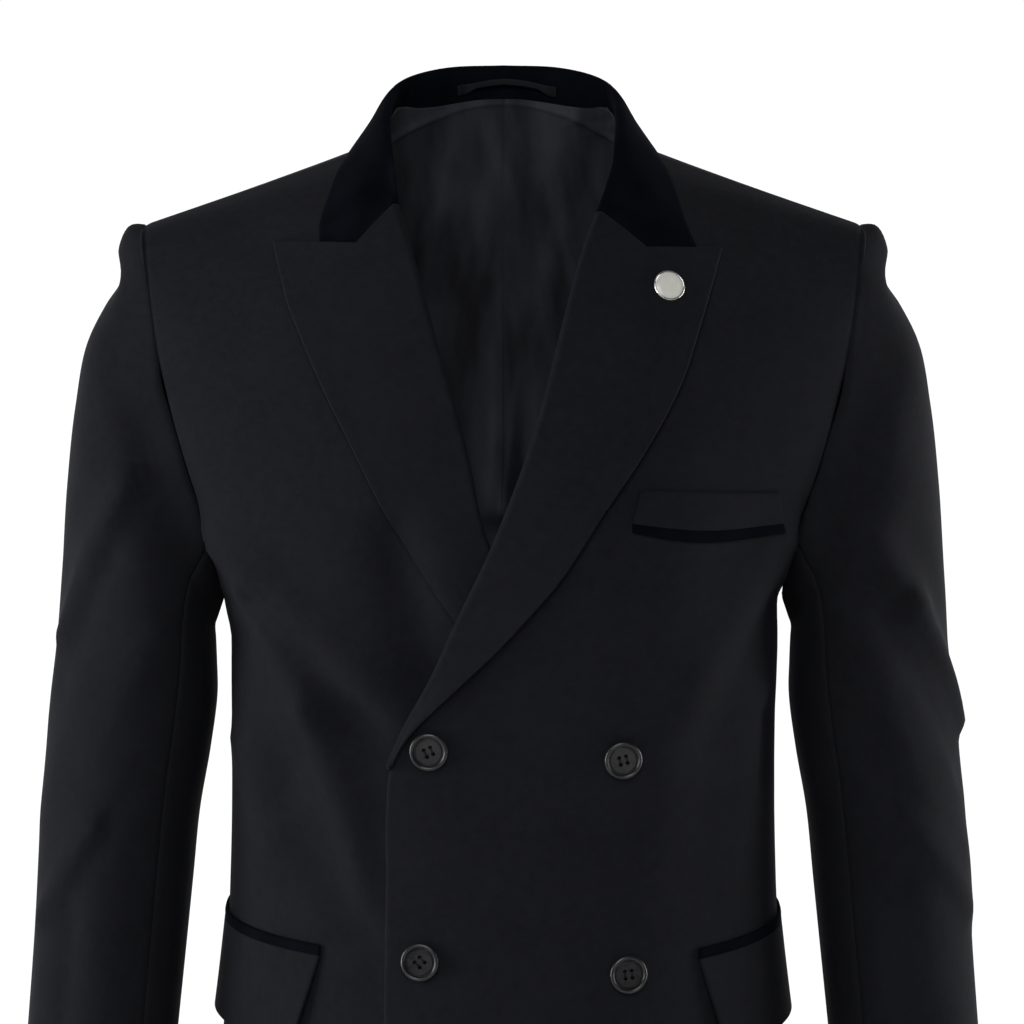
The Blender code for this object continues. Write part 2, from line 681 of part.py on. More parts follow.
def neck_edge(along):
    """(point, turn) of the back's neck edge, from centre back to the shoulder seam."""
    x = NECK_X * math.sin(math.pi * along)
    turn = 180.0 - math.degrees(math.asin(x / NECK_ROWS[0].edge_x))
    return back_at(0.0002, turn), turn


def neckline(front, gorge, along):
    """Point of the panels' neck edge, its normal and the way into the panel, from centre back."""
    if along > 0.5:
        return front.edge_frame((along - 0.5) * 2.0 * gorge)
    point, turn = neck_edge(along)
    run = neck_edge(min(along + 0.02, 0.5))[0] - neck_edge(max(along - 0.02, 0.0))[0]
    away = body_normal(0.0002, turn)
    into = run.cross(away).normalized()
    if into.dot(Vector((point.x, point.y, 0.0))) < 0.0:
        into = -into
    return point, away, into


def collar_section(front, gorge, notch, along):
    """Points across the collar: inside foot, stand, fold, leaf and its outer edge."""
    point, away, into = neckline(front, gorge, along)
    inside = WOOL + 0.0009 + VELVET
    shoulder = math.exp(-(((along - 0.43) / 0.06) ** 2))
    foot = point - away * inside + into * COLLAR_LEG * (1.0 - 0.85 * shoulder)
    under = point - away * inside - into * 0.0008
    round_edge = point - away * 0.0008 - into * 0.0030
    end = roll_point(front, gorge, 0.5)
    knots = [row.down for row in COLLAR_FOLD] + [1.0]
    rows = [Vector((row.x, row.y, row.z)) for row in COLLAR_FOLD] + [end]
    fold = Vector([curve(knots, [p[axis] for p in rows], along) for axis in range(3)])
    lift = VELVET + 0.0008
    if along <= 0.5:
        x = COLLAR_LEAF[0].x * math.sin(math.pi * along)
        turn = 180.0 - math.degrees(math.asin(x / NECK_ROWS[0].edge_x))
        leaf = back_at(max(LEAF_BACK * math.cos(math.pi * along), 0.0005), turn, lift)
    else:
        places = [(row.down, row.x, row.z) for row in COLLAR_LEAF]
        places.append((1.0, notch.corner_x, notch.corner_z))
        knots = [place[0] for place in places]
        x = curve(knots, [place[1] for place in places], along)
        z = curve(knots, [place[2] for place in places], along)
        leaf = front.spot(x, z, lift)
    out = leaf - foot
    flat = Vector((out.x, out.y, 0.0)).normalized()
    lie = 0.30 + 0.70 * step(0.70, 1.0, along)
    fall = (flat * (1.0 - lie) + away * lie).normalized()
    crest = ROLL_RADIUS * 0.9
    tangent = (fold - 0.5 * (foot + leaf)).normalized().lerp(-into, step(0.6, 0.95, along)).normalized()
    fall = (fall - tangent * fall.dot(tangent)).normalized()
    inner = fold - tangent * crest - fall * crest
    outer = fold - tangent * crest + fall * crest
    middle = 0.5 * (outer + leaf)
    if along > 0.7:
        down = (along - 0.5) * 2.0 * gorge
        rolled = step(0.7, 1.0, along)
        round_edge = round_edge.lerp(roll_point(front, down, 0.14), rolled)
        inner = inner.lerp(roll_point(front, down, 0.30), rolled)
        outer = outer.lerp(roll_point(front, down, 0.86), rolled)
    at_notch = front.spot(notch.notch_x, notch.notch_z, lift)
    if along > 0.6:
        resting = front.spot(middle.x, middle.z, lift + 0.0012)
        lying = resting if resting.y < middle.y else middle
        middle = middle.lerp(lying, step(0.6, 0.7, along))
    middle = middle.lerp(at_notch, step(0.86, 1.0, along))
    return foot, under, round_edge, inner, fold, outer, middle, leaf


COLLAR_KNOTS = (0.0, 0.14, 0.22, 0.44, 0.52, 0.60, 0.80, 1.0)
GORGE_LEFT = 0.0622
GORGE_RIGHT = 0.0552


def collar_point(along, across):
    if along >= 0.0:
        rows = collar_section(LEFT_FRONT, GORGE_LEFT, NOTCH_LEFT, along)
    else:
        rows = collar_section(RIGHT_FRONT, GORGE_RIGHT, NOTCH_RIGHT, -along)
    point = Vector([curve(COLLAR_KNOTS, [p[axis] for p in rows], across) for axis in range(3)])
    return point if along >= 0.0 else mirrored(point)


def collar():
    half = spaced((0.0, 0.5, 6), (0.5, 1.0, 6))
    us = [-u for u in reversed(half[1:])] + half
    vs = spaced((0.0, 0.22, 3), (0.22, 0.44, 3), (0.44, 0.60, 4), (0.60, 0.80, 2), (0.80, 1.0, 2))
    cloth("collar", us, vs, collar_point, VELVET, velvet, inward=True)


def hanger_loop():
    """Strap held at both ends on the stand, bowed a little between them."""

    def outside(u, v):
        along = LOOP_START + (LOOP_END - LOOP_START) * u
        held = 1.0 - step(0.0, 0.14, u) * (1.0 - step(0.86, 1.0, u))
        bow = LOOP_BOW * math.sin(math.pi * u) * (1.0 - held)
        base = collar_point(along, 0.31)
        away = (collar_point(along + 0.01, 0.31) - base).cross(
            collar_point(along, 0.33) - base
        ).normalized()
        if away.y > 0.0:
            away = -away
        lift = Vector((0.0, 0.0, (0.5 - v) * LOOP_WIDTH + 0.6 * bow))
        return base + away * (SATIN + 0.0012 + bow) + lift

    cloth("hanger_loop", spaced((0.0, 1.0, 14)), spaced((0.0, 1.0, 2)), outside, SATIN, satin)


def flap_point(front, flap, u, drop, lift):
    """Point of the hip pocket: u runs from its front end to its rear end, drop down from its mouth."""
    start = flap.front_turn + FLAP_LEAN * max(drop, 0.0) / FLAP_DEPTH
    turn = start + (flap.rear_turn - start) * u
    z = flap.front_z + (flap.rear_z - flap.front_z) * u - drop
    return front.at(find_down(lambda down: turn, z), turn, lift)


def hip_pocket(name, front, flap, side):
    def flap_face(u, v):
        stand_off = POCKET_LIFT + WOOL + 0.0012 * v
        corner = 0.010 * (1.0 - step(0.0, 0.16, u))
        return flap_point(front, flap, u, 0.0004 + v * (FLAP_DEPTH - corner), stand_off)

    def trim_face(u, v):
        return flap_point(front, flap, u, (v - 1.0) * TRIM, POCKET_LIFT + VELVET)

    columns = spaced((0.0, 1.0, 10))
    cloth("pocket_flap_" + name, columns, spaced((0.0, 1.0, 4)), flap_face, WOOL, wool, side)
    cloth("pocket_trim_" + name, columns, spaced((0.0, 1.0, 1)), trim_face, VELVET, velvet, side)


def chest_pocket():
    def along(row, u):
        x = row.inner_x + (row.outer_x - row.inner_x) * u
        z = row.inner_z + (row.outer_z - row.inner_z) * u - row.sag * math.sin(math.pi * u)
        return x, z

    def welt_face(u, v):
        top_x, top_z = along(WELT_TOP, u)
        foot_x, foot_z = along(WELT_FOOT, u)
        x = top_x + (foot_x - top_x) * v
        z = top_z + (foot_z - top_z) * v
        return LEFT_FRONT.spot(x, z, POCKET_LIFT + WOOL)

    def trim_face(u, v):
        x, z = along(WELT_FOOT, u)
        depth = WELT_TRIM * (0.72 + 0.28 * math.sin(math.pi * u))
        return LEFT_FRONT.spot(x, z - 0.0004 - v * depth, POCKET_LIFT + VELVET)

    columns = spaced((0.0, 1.0, 10))
    cloth("chest_welt", columns, spaced((0.0, 1.0, 2)), welt_face, WOOL, wool)
    cloth("chest_welt_trim", columns, spaced((0.0, 1.0, 1)), trim_face, VELVET, velvet)


def turned(name, profile, steps):
    """Body turned round Z from a profile of (radius, height), held as a mesh."""
    line = bpy.data.meshes.new(name + "_profile")
    points = [(radius, 0.0, height) for radius, height in profile]
    line.from_pydata(points, [(i, i + 1) for i in range(len(points) - 1)], [])
    helper = bpy.data.objects.new(name + "_profile", line)
    COAT.objects.link(helper)
    screw = helper.modifiers.new("turn", "SCREW")
    screw.steps = steps
    screw.render_steps = steps
    screw.use_merge_vertices = True
    screw.merge_threshold = 0.00001
    screw.use_normal_calculate = True
    return helper


def baked(helper, name):
    bpy.context.view_layer.update()
    graph = bpy.context.evaluated_depsgraph_get()
    mesh = bpy.data.meshes.new_from_object(helper.evaluated_get(graph))
    mesh.name = name
    shape = bmesh.new()
    shape.from_mesh(mesh)
    bmesh.ops.recalc_face_normals(shape, faces=shape.faces[:])
    shape.to_mesh(mesh)
    shape.free()
    return mesh


def button_mesh():
    helper = turned("button", BUTTON_PROFILE, 18)
    blank = bpy.data.objects.new("button_blank", baked(helper, "button_blank"))
    COAT.objects.link(blank)
    holes = bmesh.new()
    for column in (-0.5, 0.5):
        for row in (-0.5, 0.5):
            place = Matrix.Translation((column * BUTTON_PITCH, row * BUTTON_PITCH, 0.002))
            bmesh.ops.create_cone(
                holes, cap_ends=True, segments=6, radius1=BUTTON_HOLE, radius2=BUTTON_HOLE,
                depth=0.01, matrix=place,
            )
    drill = bpy.data.meshes.new("button_holes")
    holes.to_mesh(drill)
    holes.free()
    cutter = bpy.data.objects.new("button_holes", drill)
    COAT.objects.link(cutter)
    cut = blank.modifiers.new("holes", "BOOLEAN")
    cut.operation = "DIFFERENCE"
    cut.solver = "EXACT"
    cut.object = cutter
    mesh = baked(blank, "button")
    for spare in (helper, blank, cutter):
        bpy.data.objects.remove(spare)
    return mesh


def seated(piece, point, away, turn):
    """Stands the piece's Z along the surface's normal at the point."""
    up = away.normalized()
    across = Vector((1.0, 0.0, 0.0))
    across = (across - up * across.dot(up)).normalized()
    frame = Matrix((across, up.cross(across), up)).transposed().to_4x4()
    spin = Matrix.Rotation(math.radians(turn), 4, "Z")
    piece.matrix_world = Matrix.Translation(point) @ frame @ spin


def surface_normal(front, x, z):
    right = front.spot(x + 0.008, z) - front.spot(x - 0.008, z)
    up = front.spot(x, z + 0.008) - front.spot(x, z - 0.008)
    return right.cross(up).normalized()


def fastenings():
    shape = button_mesh()
    for row in BUTTONS:
        away = surface_normal(LEFT_FRONT, row.x, row.z)
        piece = placed(row.name, shape.copy(), resin)
        seated(piece, LEFT_FRONT.spot(row.x, row.z) + away * row.seat, away, row.turn)
    helper = turned("lapel_pin", PIN_PROFILE, 20)
    mesh = baked(helper, "lapel_pin")
    bpy.data.objects.remove(helper)
    away = surface_normal(LEFT_FRONT, *PIN_PLACE)
    seat = LAPEL_LIFT + LAPEL_BELLY + PIN_SEAT
    pin = placed("lapel_pin", mesh, silver)
    seated(pin, LEFT_FRONT.spot(*PIN_PLACE) + away * seat, away, 0.0)


for old in list(bpy.data.objects):
    bpy.data.objects.remove(old)

COAT = bpy.data.collections.new(OBJECT)
bpy.context.scene.collection.children.link(COAT)

wool = surface_material("charcoal_wool", (0.012, 0.013, 0.015), 0.85, sheen=0.3)
velvet = surface_material("black_velvet", (0.004, 0.004, 0.006), 0.95, sheen=0.6)
satin = surface_material("black_satin", (0.010, 0.011, 0.013), 0.35)
resin = surface_material("dark_resin", (0.035, 0.036, 0.040), 0.35)
silver = surface_material("silver", (0.70, 0.70, 0.68), 0.25, metallic=1.0)

front_panel("front_left", LEFT_FRONT, 1)
front_panel("front_right", RIGHT_FRONT, -1)
back_panel("back_left", 1)
back_panel("back_right", -1)
back_lining("back_lining_left", 1, 180.25)
back_lining("back_lining_right", -1, 179.58)
sleeve_piece("top_sleeve_left", HINDARM_SEAM + 0.2, FOREARM_SEAM - 0.2, 12, SLEEVE_FOLDS_LEFT, 1)
sleeve_piece("top_sleeve_right", HINDARM_SEAM + 0.2, FOREARM_SEAM - 0.2, 12, SLEEVE_FOLDS_RIGHT, -1)
sleeve_piece("under_sleeve_left", FOREARM_SEAM + 0.2, HINDARM_SEAM + 359.8, 6, SLEEVE_FOLDS_LEFT, 1)
sleeve_piece("under_sleeve_right", FOREARM_SEAM + 0.2, HINDARM_SEAM + 359.8, 6, SLEEVE_FOLDS_RIGHT, -1)
lapel("lapel_left", LEFT_FRONT, LAPEL_LEFT, NOTCH_LEFT, 1)
lapel("lapel_right", RIGHT_FRONT, LAPEL_RIGHT, NOTCH_RIGHT, -1)
collar()
hanger_loop()
hip_pocket("left", LEFT_FRONT, FLAP_LEFT, 1)
hip_pocket("right", RIGHT_FRONT, FLAP_RIGHT, -1)
chest_pocket()
fastenings()
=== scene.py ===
import math
from collections import namedtuple

import bmesh
import bpy
import numpy as np
from mathutils import Matrix, Vector


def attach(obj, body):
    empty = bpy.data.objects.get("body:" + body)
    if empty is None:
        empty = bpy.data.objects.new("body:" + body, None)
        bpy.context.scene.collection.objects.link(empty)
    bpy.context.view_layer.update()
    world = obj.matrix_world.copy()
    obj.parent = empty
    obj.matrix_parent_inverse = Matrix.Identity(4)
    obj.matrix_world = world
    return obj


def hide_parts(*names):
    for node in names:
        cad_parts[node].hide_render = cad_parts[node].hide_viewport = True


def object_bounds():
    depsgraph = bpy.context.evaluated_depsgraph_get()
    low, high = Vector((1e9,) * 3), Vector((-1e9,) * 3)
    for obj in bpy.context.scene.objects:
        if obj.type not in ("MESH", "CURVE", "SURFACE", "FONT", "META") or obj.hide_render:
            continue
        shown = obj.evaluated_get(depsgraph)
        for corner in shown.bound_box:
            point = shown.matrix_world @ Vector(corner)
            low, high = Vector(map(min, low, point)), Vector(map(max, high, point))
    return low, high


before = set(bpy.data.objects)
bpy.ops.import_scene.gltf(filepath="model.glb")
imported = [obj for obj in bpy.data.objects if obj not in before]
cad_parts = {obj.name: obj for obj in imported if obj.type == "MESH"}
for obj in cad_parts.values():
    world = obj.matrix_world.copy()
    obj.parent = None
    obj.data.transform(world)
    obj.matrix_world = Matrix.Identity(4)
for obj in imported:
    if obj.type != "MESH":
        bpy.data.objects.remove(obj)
CAD_BOX = [list(corner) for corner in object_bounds()]

bl_info = {
    "name": "Double-breasted overcoat",
    "version": (1, 0, 0),
    "blender": (4, 5, 0),
    "location": "3D View > Sidebar > Overcoat",
    "description": "Sews a double-breasted overcoat with a velvet collar over its solids",
    "category": "Object",
}

# Lengths are in metres. The front faces -Y, the wearer's left is at +X, and the origin is the middle of
# the neck. Pieces are shaped for the wearer's left side and mirrored for the right.
UNDERARM = 0.285
HEM = 0.900
NECK_X = 0.083
ROLL_RADIUS = 0.0034
ROLL_DEPTH = 0.001
# A seam draws the cloth in over this reach; rims bulge by a share of the thickness, less at a seam.
SEAM_REACH = 0.0022
RIM_BULGE = 0.45
SEAM_BULGE = 0.4
# Panels start this far below the shoulder seam and stop this many degrees short of the side seam.
SHOULDER_START = 0.0002
SIDE_CLEARANCE = 0.10
# Share of the back's columns that go round the neck, and steps of the search for a height on the form.
NECK_SHARE = 0.40
HALVINGS = 34

# The body's form, a row per section: "down" is the length down the panel from the shoulder seam, and a
# section runs from the centre line to the edge, which is the armhole and then the side.
Section = namedtuple("Section", "name down centre_y centre_z edge_x edge_y edge_z fullness")
FRONT = (
    Section("shoulder seam", 0.000, -0.005, 0.035, 0.2325, 0.012, -0.0480, 1.00),
    Section("shoulder", 0.020, -0.030, 0.016, 0.2320, -0.006, -0.0550, 1.10),
    Section("yoke", 0.060, -0.066, -0.026, 0.2270, -0.030, -0.0920, 1.35),
    Section("chest top", 0.120, -0.100, -0.095, 0.2165, -0.052, -0.1480, 1.60),
    Section("cross chest", 0.180, -0.119, -0.170, 0.2005, -0.060, -0.2060, 1.85),
    Section("chest", 0.235, -0.126, -0.232, 0.1850, -0.045, -0.2540, 2.15),
    Section("armhole foot", 0.262, -0.1275, -0.262, 0.1825, -0.022, -0.2770, 2.50),
    Section("underarm", 0.285, -0.1275, -0.287, 0.1810, 0.006, -0.2890, 2.85),
    Section("ribs", 0.345, -0.1225, -0.347, 0.1770, 0.006, -0.3470, 2.90),
    Section("waist", 0.410, -0.1185, -0.410, 0.1765, 0.006, -0.4100, 2.65),
    Section("hip", 0.520, -0.1225, -0.520, 0.1800, 0.006, -0.5200, 2.40),
    Section("thigh", 0.700, -0.1320, -0.700, 0.1930, 0.006, -0.7000, 2.20),
    Section("hem", 0.900, -0.1430, -0.900, 0.2085, 0.006, -0.9000, 2.10),
)
BACK = (
    Section("yoke", 0.060, 0.104, -0.030, 0.2270, 0.052, -0.0880, 1.35),
    Section("blade top", 0.120, 0.114, -0.096, 0.2140, 0.079, -0.1440, 1.60),
    Section("blade", 0.180, 0.117, -0.165, 0.2020, 0.086, -0.2040, 1.85),
    Section("low blade", 0.235, 0.113, -0.228, 0.1900, 0.052, -0.2560, 2.15),
    Section("armhole foot", 0.262, 0.109, -0.260, 0.1845, 0.028, -0.2780, 2.50),
    Section("underarm", 0.285, 0.106, -0.287, 0.1810, 0.006, -0.2890, 3.10),
    Section("ribs", 0.345, 0.099, -0.347, 0.1770, 0.006, -0.3470, 2.90),
    Section("waist", 0.410, 0.097, -0.410, 0.1765, 0.006, -0.4100, 2.60),
    Section("seat", 0.520, 0.116, -0.520, 0.1800, 0.006, -0.5200, 2.20),
    Section("thigh", 0.700, 0.128, -0.700, 0.1930, 0.006, -0.7000, 2.15),
    Section("hem", 0.900, 0.138, -0.900, 0.2085, 0.006, -0.9000, 2.10),
)

# The back's top rows follow the neck and then the shoulder.
NeckRow = namedtuple("NeckRow", "down nape_y nape_z neck_x neck_y neck_z edge_x edge_y edge_z")
NECK_ROWS = (
    NeckRow(0.000, 0.079, 0.034, NECK_X, 0.0011, 0.0038, 0.2325, 0.012, -0.0480),
    NeckRow(0.020, 0.091, 0.018, 0.0920, 0.0230, 0.0000, 0.2320, 0.029, -0.0545),
)

# Inner edge of each front by length down: neck, roll of the lapel, front edge.
FrontEdge = namedtuple("FrontEdge", "down over under")
FRONT_EDGE = (
    FrontEdge(0.000, NECK_X, NECK_X),
    FrontEdge(0.030, 0.0740, 0.0760),
    FrontEdge(0.056, 0.0650, 0.0695),
    FrontEdge(0.090, 0.0530, 0.0598),
    FrontEdge(0.134, 0.0396, 0.0460),
    FrontEdge(0.193, 0.0204, 0.0262),
    FrontEdge(0.247, -0.0020, 0.0125),
    FrontEdge(0.295, -0.0268, -0.0130),
    FrontEdge(0.328, -0.0415, -0.0360),
    FrontEdge(0.364, -0.0600, -0.0660),
    FrontEdge(0.385, -0.0680, -0.0800),
    FrontEdge(0.409, -0.0706, -0.0860),
    FrontEdge(0.472, -0.0719, -0.0880),
    FrontEdge(0.900, -0.0750, -0.0900),
)

# Lapels, a row per line across from the roll to the outer edge, from the gorge down.
LapelRow = namedtuple("LapelRow", "roll_down edge_x edge_z")
LAPEL_LEFT = (
    LapelRow(0.064, 0.1383, -0.0655),
    LapelRow(0.085, 0.1334, -0.0800),
    LapelRow(0.110, 0.1272, -0.0985),
    LapelRow(0.140, 0.1198, -0.1210),
    LapelRow(0.170, 0.1115, -0.1450),
    LapelRow(0.200, 0.0985, -0.1710),
    LapelRow(0.230, 0.0810, -0.1990),
    LapelRow(0.260, 0.0610, -0.2280),
    LapelRow(0.290, 0.0343, -0.2698),
    LapelRow(0.315, 0.0030, -0.3047),
    LapelRow(0.340, -0.0253, -0.3324),
    LapelRow(0.366, -0.0545, -0.3630),
    LapelRow(0.386, -0.0676, -0.3855),
)
LAPEL_RIGHT = (
    LapelRow(0.057, 0.1454, -0.0611),
    LapelRow(0.080, 0.1402, -0.0790),
    LapelRow(0.105, 0.1340, -0.0994),
    LapelRow(0.135, 0.1262, -0.1180),
    LapelRow(0.165, 0.1181, -0.1367),
    LapelRow(0.195, 0.1072, -0.1600),
    LapelRow(0.222, 0.0951, -0.1836),
    LapelRow(0.250, 0.0828, -0.2080),
    LapelRow(0.272, 0.0690, -0.2345),
    LapelRow(0.292, 0.0501, -0.2650),
    LapelRow(0.310, 0.0327, -0.2910),
    LapelRow(0.325, 0.0150, -0.3150),
)
Notch = namedtuple("Notch", "notch_x notch_z corner_x corner_z")
NOTCH_LEFT = Notch(0.0896, -0.0638, 0.1215, -0.0640)
NOTCH_RIGHT = Notch(0.0919, -0.0613, 0.1150, -0.0602)
NOTCH_SHARE = 0.42
NOTCH_DROP = 0.0016
LAPEL_LEG = 0.006
LAPEL_LIFT = 0.0026
LAPEL_BELLY = 0.0012
LAPEL_SPRING = 0.0040
LAP_LOW = 0.0032
LAP_HIGH = 0.0092

# Collar fold and the edge of its leaf, a row per place from centre back to the gorge.
FoldRow = namedtuple("FoldRow", "down x y z")
COLLAR_FOLD = (
    FoldRow(0.00, 0.0000, 0.0820, 0.0575),
    FoldRow(0.16, 0.0350, 0.0765, 0.0560),
    FoldRow(0.32, 0.0600, 0.0560, 0.0490),
    FoldRow(0.46, 0.0710, 0.0280, 0.0385),
    FoldRow(0.60, 0.0732, -0.0010, 0.0235),
    FoldRow(0.74, 0.0714, -0.0270, 0.0045),
    FoldRow(0.88, 0.0684, -0.0490, -0.0170),
)
LeafRow = namedtuple("LeafRow", "down x z")
COLLAR_LEAF = (
    LeafRow(0.50, 0.0960, 0.0008),
    LeafRow(0.62, 0.1045, -0.0144),
    LeafRow(0.75, 0.1105, -0.0318),
    LeafRow(0.88, 0.1155, -0.0490),
)
LEAF_BACK = 0.026
COLLAR_LEG = 0.006
COLLAR_INSIDE = 0.0029
COLLAR_GAP = 0.0008
COLLAR_REST = 0.0012
COLLAR_KNOTS = (0.0, 0.14, 0.22, 0.44, 0.52, 0.60, 0.80, 1.0)
GORGE_LEFT = 0.0622
GORGE_RIGHT = 0.0552

# Folds and creases, a row each: a soft ridge from start to end, or a trough where its height is negative.
# x is measured towards its own side, and lean is how much steeper the upper flank is than the lower one.
Fold = namedtuple("Fold", "start_x start_z end_x end_z width start_height end_height lean")
FRONT_FOLDS_LEFT = (
    Fold(0.176, -0.250, 0.112, -0.352, 0.017, 0.0072, 0.0028, 0.6),
    Fold(0.176, -0.290, 0.126, -0.372, 0.012, -0.0034, -0.0012, 1.0),
    Fold(0.178, -0.238, 0.140, -0.268, 0.008, 0.0016, 0.0003, 1.0),
    Fold(0.118, -0.330, 0.106, -0.400, 0.016, 0.0016, 0.0006, 1.0),
    Fold(0.158, -0.345, 0.147, -0.462, 0.014, 0.0052, 0.0030, 0.6),
    Fold(0.164, -0.360, 0.163, -0.400, 0.007, -0.0028, -0.0016, 1.0),
    Fold(0.122, -0.372, 0.118, -0.480, 0.016, -0.0016, -0.0008, 1.0),
    Fold(0.090, -0.420, 0.086, -0.560, 0.022, 0.0014, 0.0008, 1.0),
    Fold(0.030, -0.560, 0.040, -0.880, 0.036, 0.0006, 0.0030, 1.0),
    Fold(0.130, -0.640, 0.150, -0.900, 0.040, 0.0000, 0.0090, 1.0),
)
FRONT_FOLDS_RIGHT = (
    Fold(0.178, -0.252, 0.064, -0.362, 0.020, 0.0086, 0.0052, 0.50),
    Fold(0.150, -0.286, 0.082, -0.364, 0.011, -0.0052, -0.0032, 1.0),
    Fold(0.160, -0.282, 0.122, -0.356, 0.016, 0.0070, 0.0084, 0.50),
    Fold(0.122, -0.356, 0.086, -0.470, 0.016, 0.0084, 0.0060, 0.50),
    Fold(0.166, -0.314, 0.141, -0.396, 0.014, -0.0052, -0.0058, 1.0),
    Fold(0.141, -0.396, 0.094, -0.486, 0.015, -0.0058, -0.0034, 1.0),
    Fold(0.168, -0.380, 0.146, -0.456, 0.011, 0.0044, 0.0024, 0.6),
    Fold(0.066, -0.246, 0.046, -0.330, 0.016, -0.0078, -0.0070, 1.0),
    Fold(0.120, -0.250, 0.080, -0.330, 0.020, 0.0016, 0.0010, 1.0),
    Fold(0.079, -0.385, 0.082, -0.900, 0.008, -0.0014, -0.0014, 1.0),
    Fold(0.110, -0.580, 0.106, -0.880, 0.030, 0.0004, 0.0030, 1.0),
    Fold(0.130, -0.640, 0.150, -0.900, 0.040, 0.0000, 0.0090, 1.0),
)
CREASES_BACK_LEFT = (
    Fold(0.186, -0.250, 0.090, -0.330, 0.016, 0.0030, 0.0008, 1.0),
    Fold(0.180, -0.290, 0.100, -0.385, 0.012, -0.0018, -0.0005, 1.0),
    Fold(0.172, -0.395, 0.060, -0.425, 0.016, 0.0024, 0.0010, 1.0),
    Fold(0.150, -0.430, 0.030, -0.452, 0.012, -0.0014, -0.0006, 1.0),
    Fold(0.100, -0.090, 0.150, -0.190, 0.018, 0.0012, 0.0020, 1.0),
    Fold(0.030, -0.300, 0.024, -0.390, 0.014, -0.0012, -0.0006, 1.0),
)
CREASES_BACK_RIGHT = (
    Fold(0.184, -0.262, 0.080, -0.350, 0.018, 0.0034, 0.0008, 1.0),
    Fold(0.178, -0.310, 0.090, -0.392, 0.012, -0.0018, -0.0006, 1.0),
    Fold(0.170, -0.412, 0.080, -0.436, 0.014, 0.0020, 0.0010, 1.0),
    Fold(0.110, -0.100, 0.156, -0.205, 0.020, 0.0014, 0.0018, 1.0),
    Fold(0.040, -0.330, 0.030, -0.420, 0.014, -0.0010, -0.0006, 1.0),
)
# Here x runs to the wearer's left on both halves, and heights lift the satin off the back.
LINING_FOLDS = (
    Fold(-0.044, 0.030, -0.004, -0.085, 0.013, 0.0046, 0.0000, 1.0),
    Fold(0.018, 0.030, 0.030, -0.150, 0.012, 0.0046, 0.0000, 1.0),
    Fold(0.022, -0.020, 0.000, -0.240, 0.010, 0.0000, 0.0110, 1.0),
    Fold(-0.034, -0.030, -0.014, -0.240, 0.011, 0.0000, 0.0080, 1.0),
    Fold(0.056, -0.010, 0.030, -0.220, 0.012, 0.0000, 0.0070, 1.0),
    Fold(-0.060, 0.000, -0.036, -0.220, 0.013, 0.0000, 0.0060, 1.0),
    Fold(0.074, 0.027, 0.020, 0.010, 0.0030, 0.0016, 0.0002, 1.0),
    Fold(0.074, 0.016, 0.026, 0.000, 0.0034, 0.0014, 0.0002, 1.0),
    Fold(0.044, 0.030, 0.010, 0.006, 0.0040, 0.0008, 0.0002, 1.0),
)
# Top edge of the lining where it is felled to the collar stand, from centre back to the shoulder.
LiningEdge = namedtuple("LiningEdge", "down across")
LINING_EDGE = (
    LiningEdge(0.00, 0.200),
    LiningEdge(0.12, 0.225),
    LiningEdge(0.25, 0.285),
    LiningEdge(0.35, 0.335),
    LiningEdge(0.43, 0.340),
    LiningEdge(0.50, 0.250),
)

# Sleeve form, a row per ring from the armhole to the cuff: outer and inner points as seen from the
# front, with the depths of its front and back; puff is how far the eased head stands out at its top.
Ring = namedtuple("Ring", "down outer_x outer_z inner_x inner_z front_y back_y round puff")
SLEEVE = (
    Ring(0.012, 0.2430, -0.0500, 0.1840, -0.2920, -0.0660, 0.0900, 0.06, 0.0000),
    Ring(0.026, 0.2462, -0.0640, 0.1858, -0.2965, -0.0700, 0.0940, 0.14, 0.0038),
    Ring(0.045, 0.2512, -0.0830, 0.1875, -0.3025, -0.0715, 0.0950, 0.24, -0.0037),
    Ring(0.063, 0.2580, -0.1000, 0.1878, -0.3090, -0.0725, 0.0950, 0.38, 0.0000),
    Ring(0.090, 0.2700, -0.1240, 0.1876, -0.3190, -0.0730, 0.0940, 0.58, 0.0000),
    Ring(0.130, 0.2780, -0.1650, 0.1872, -0.3340, -0.0720, 0.0920, 0.82, 0.0000),
    Ring(0.180, 0.2835, -0.2150, 0.1870, -0.3560, -0.0690, 0.0880, 0.96, 0.0000),
    Ring(0.240, 0.2875, -0.2750, 0.1915, -0.3900, -0.0640, 0.0820, 1.00, 0.0000),
    Ring(0.310, 0.2930, -0.3450, 0.1985, -0.4300, -0.0590, 0.0750, 1.00, 0.0000),
    Ring(0.385, 0.3010, -0.4200, 0.2030, -0.4750, -0.0580, 0.0680, 1.00, 0.0000),
    Ring(0.475, 0.3055, -0.5100, 0.2092, -0.5400, -0.0670, 0.0560, 1.00, 0.0000),
    Ring(0.565, 0.3110, -0.6000, 0.2160, -0.6120, -0.0810, 0.0360, 1.00, 0.0000),
    Ring(0.655, 0.3170, -0.6900, 0.2240, -0.6860, -0.0960, 0.0130, 1.00, 0.0000),
)
FOREARM_SEAM = 128.0
HINDARM_SEAM = -115.0
SLEEVE_START = 0.0003
SLEEVE_RADIUS = 0.056
HEAD_RINGS = 4
SLEEVE_END = SLEEVE[-1].down
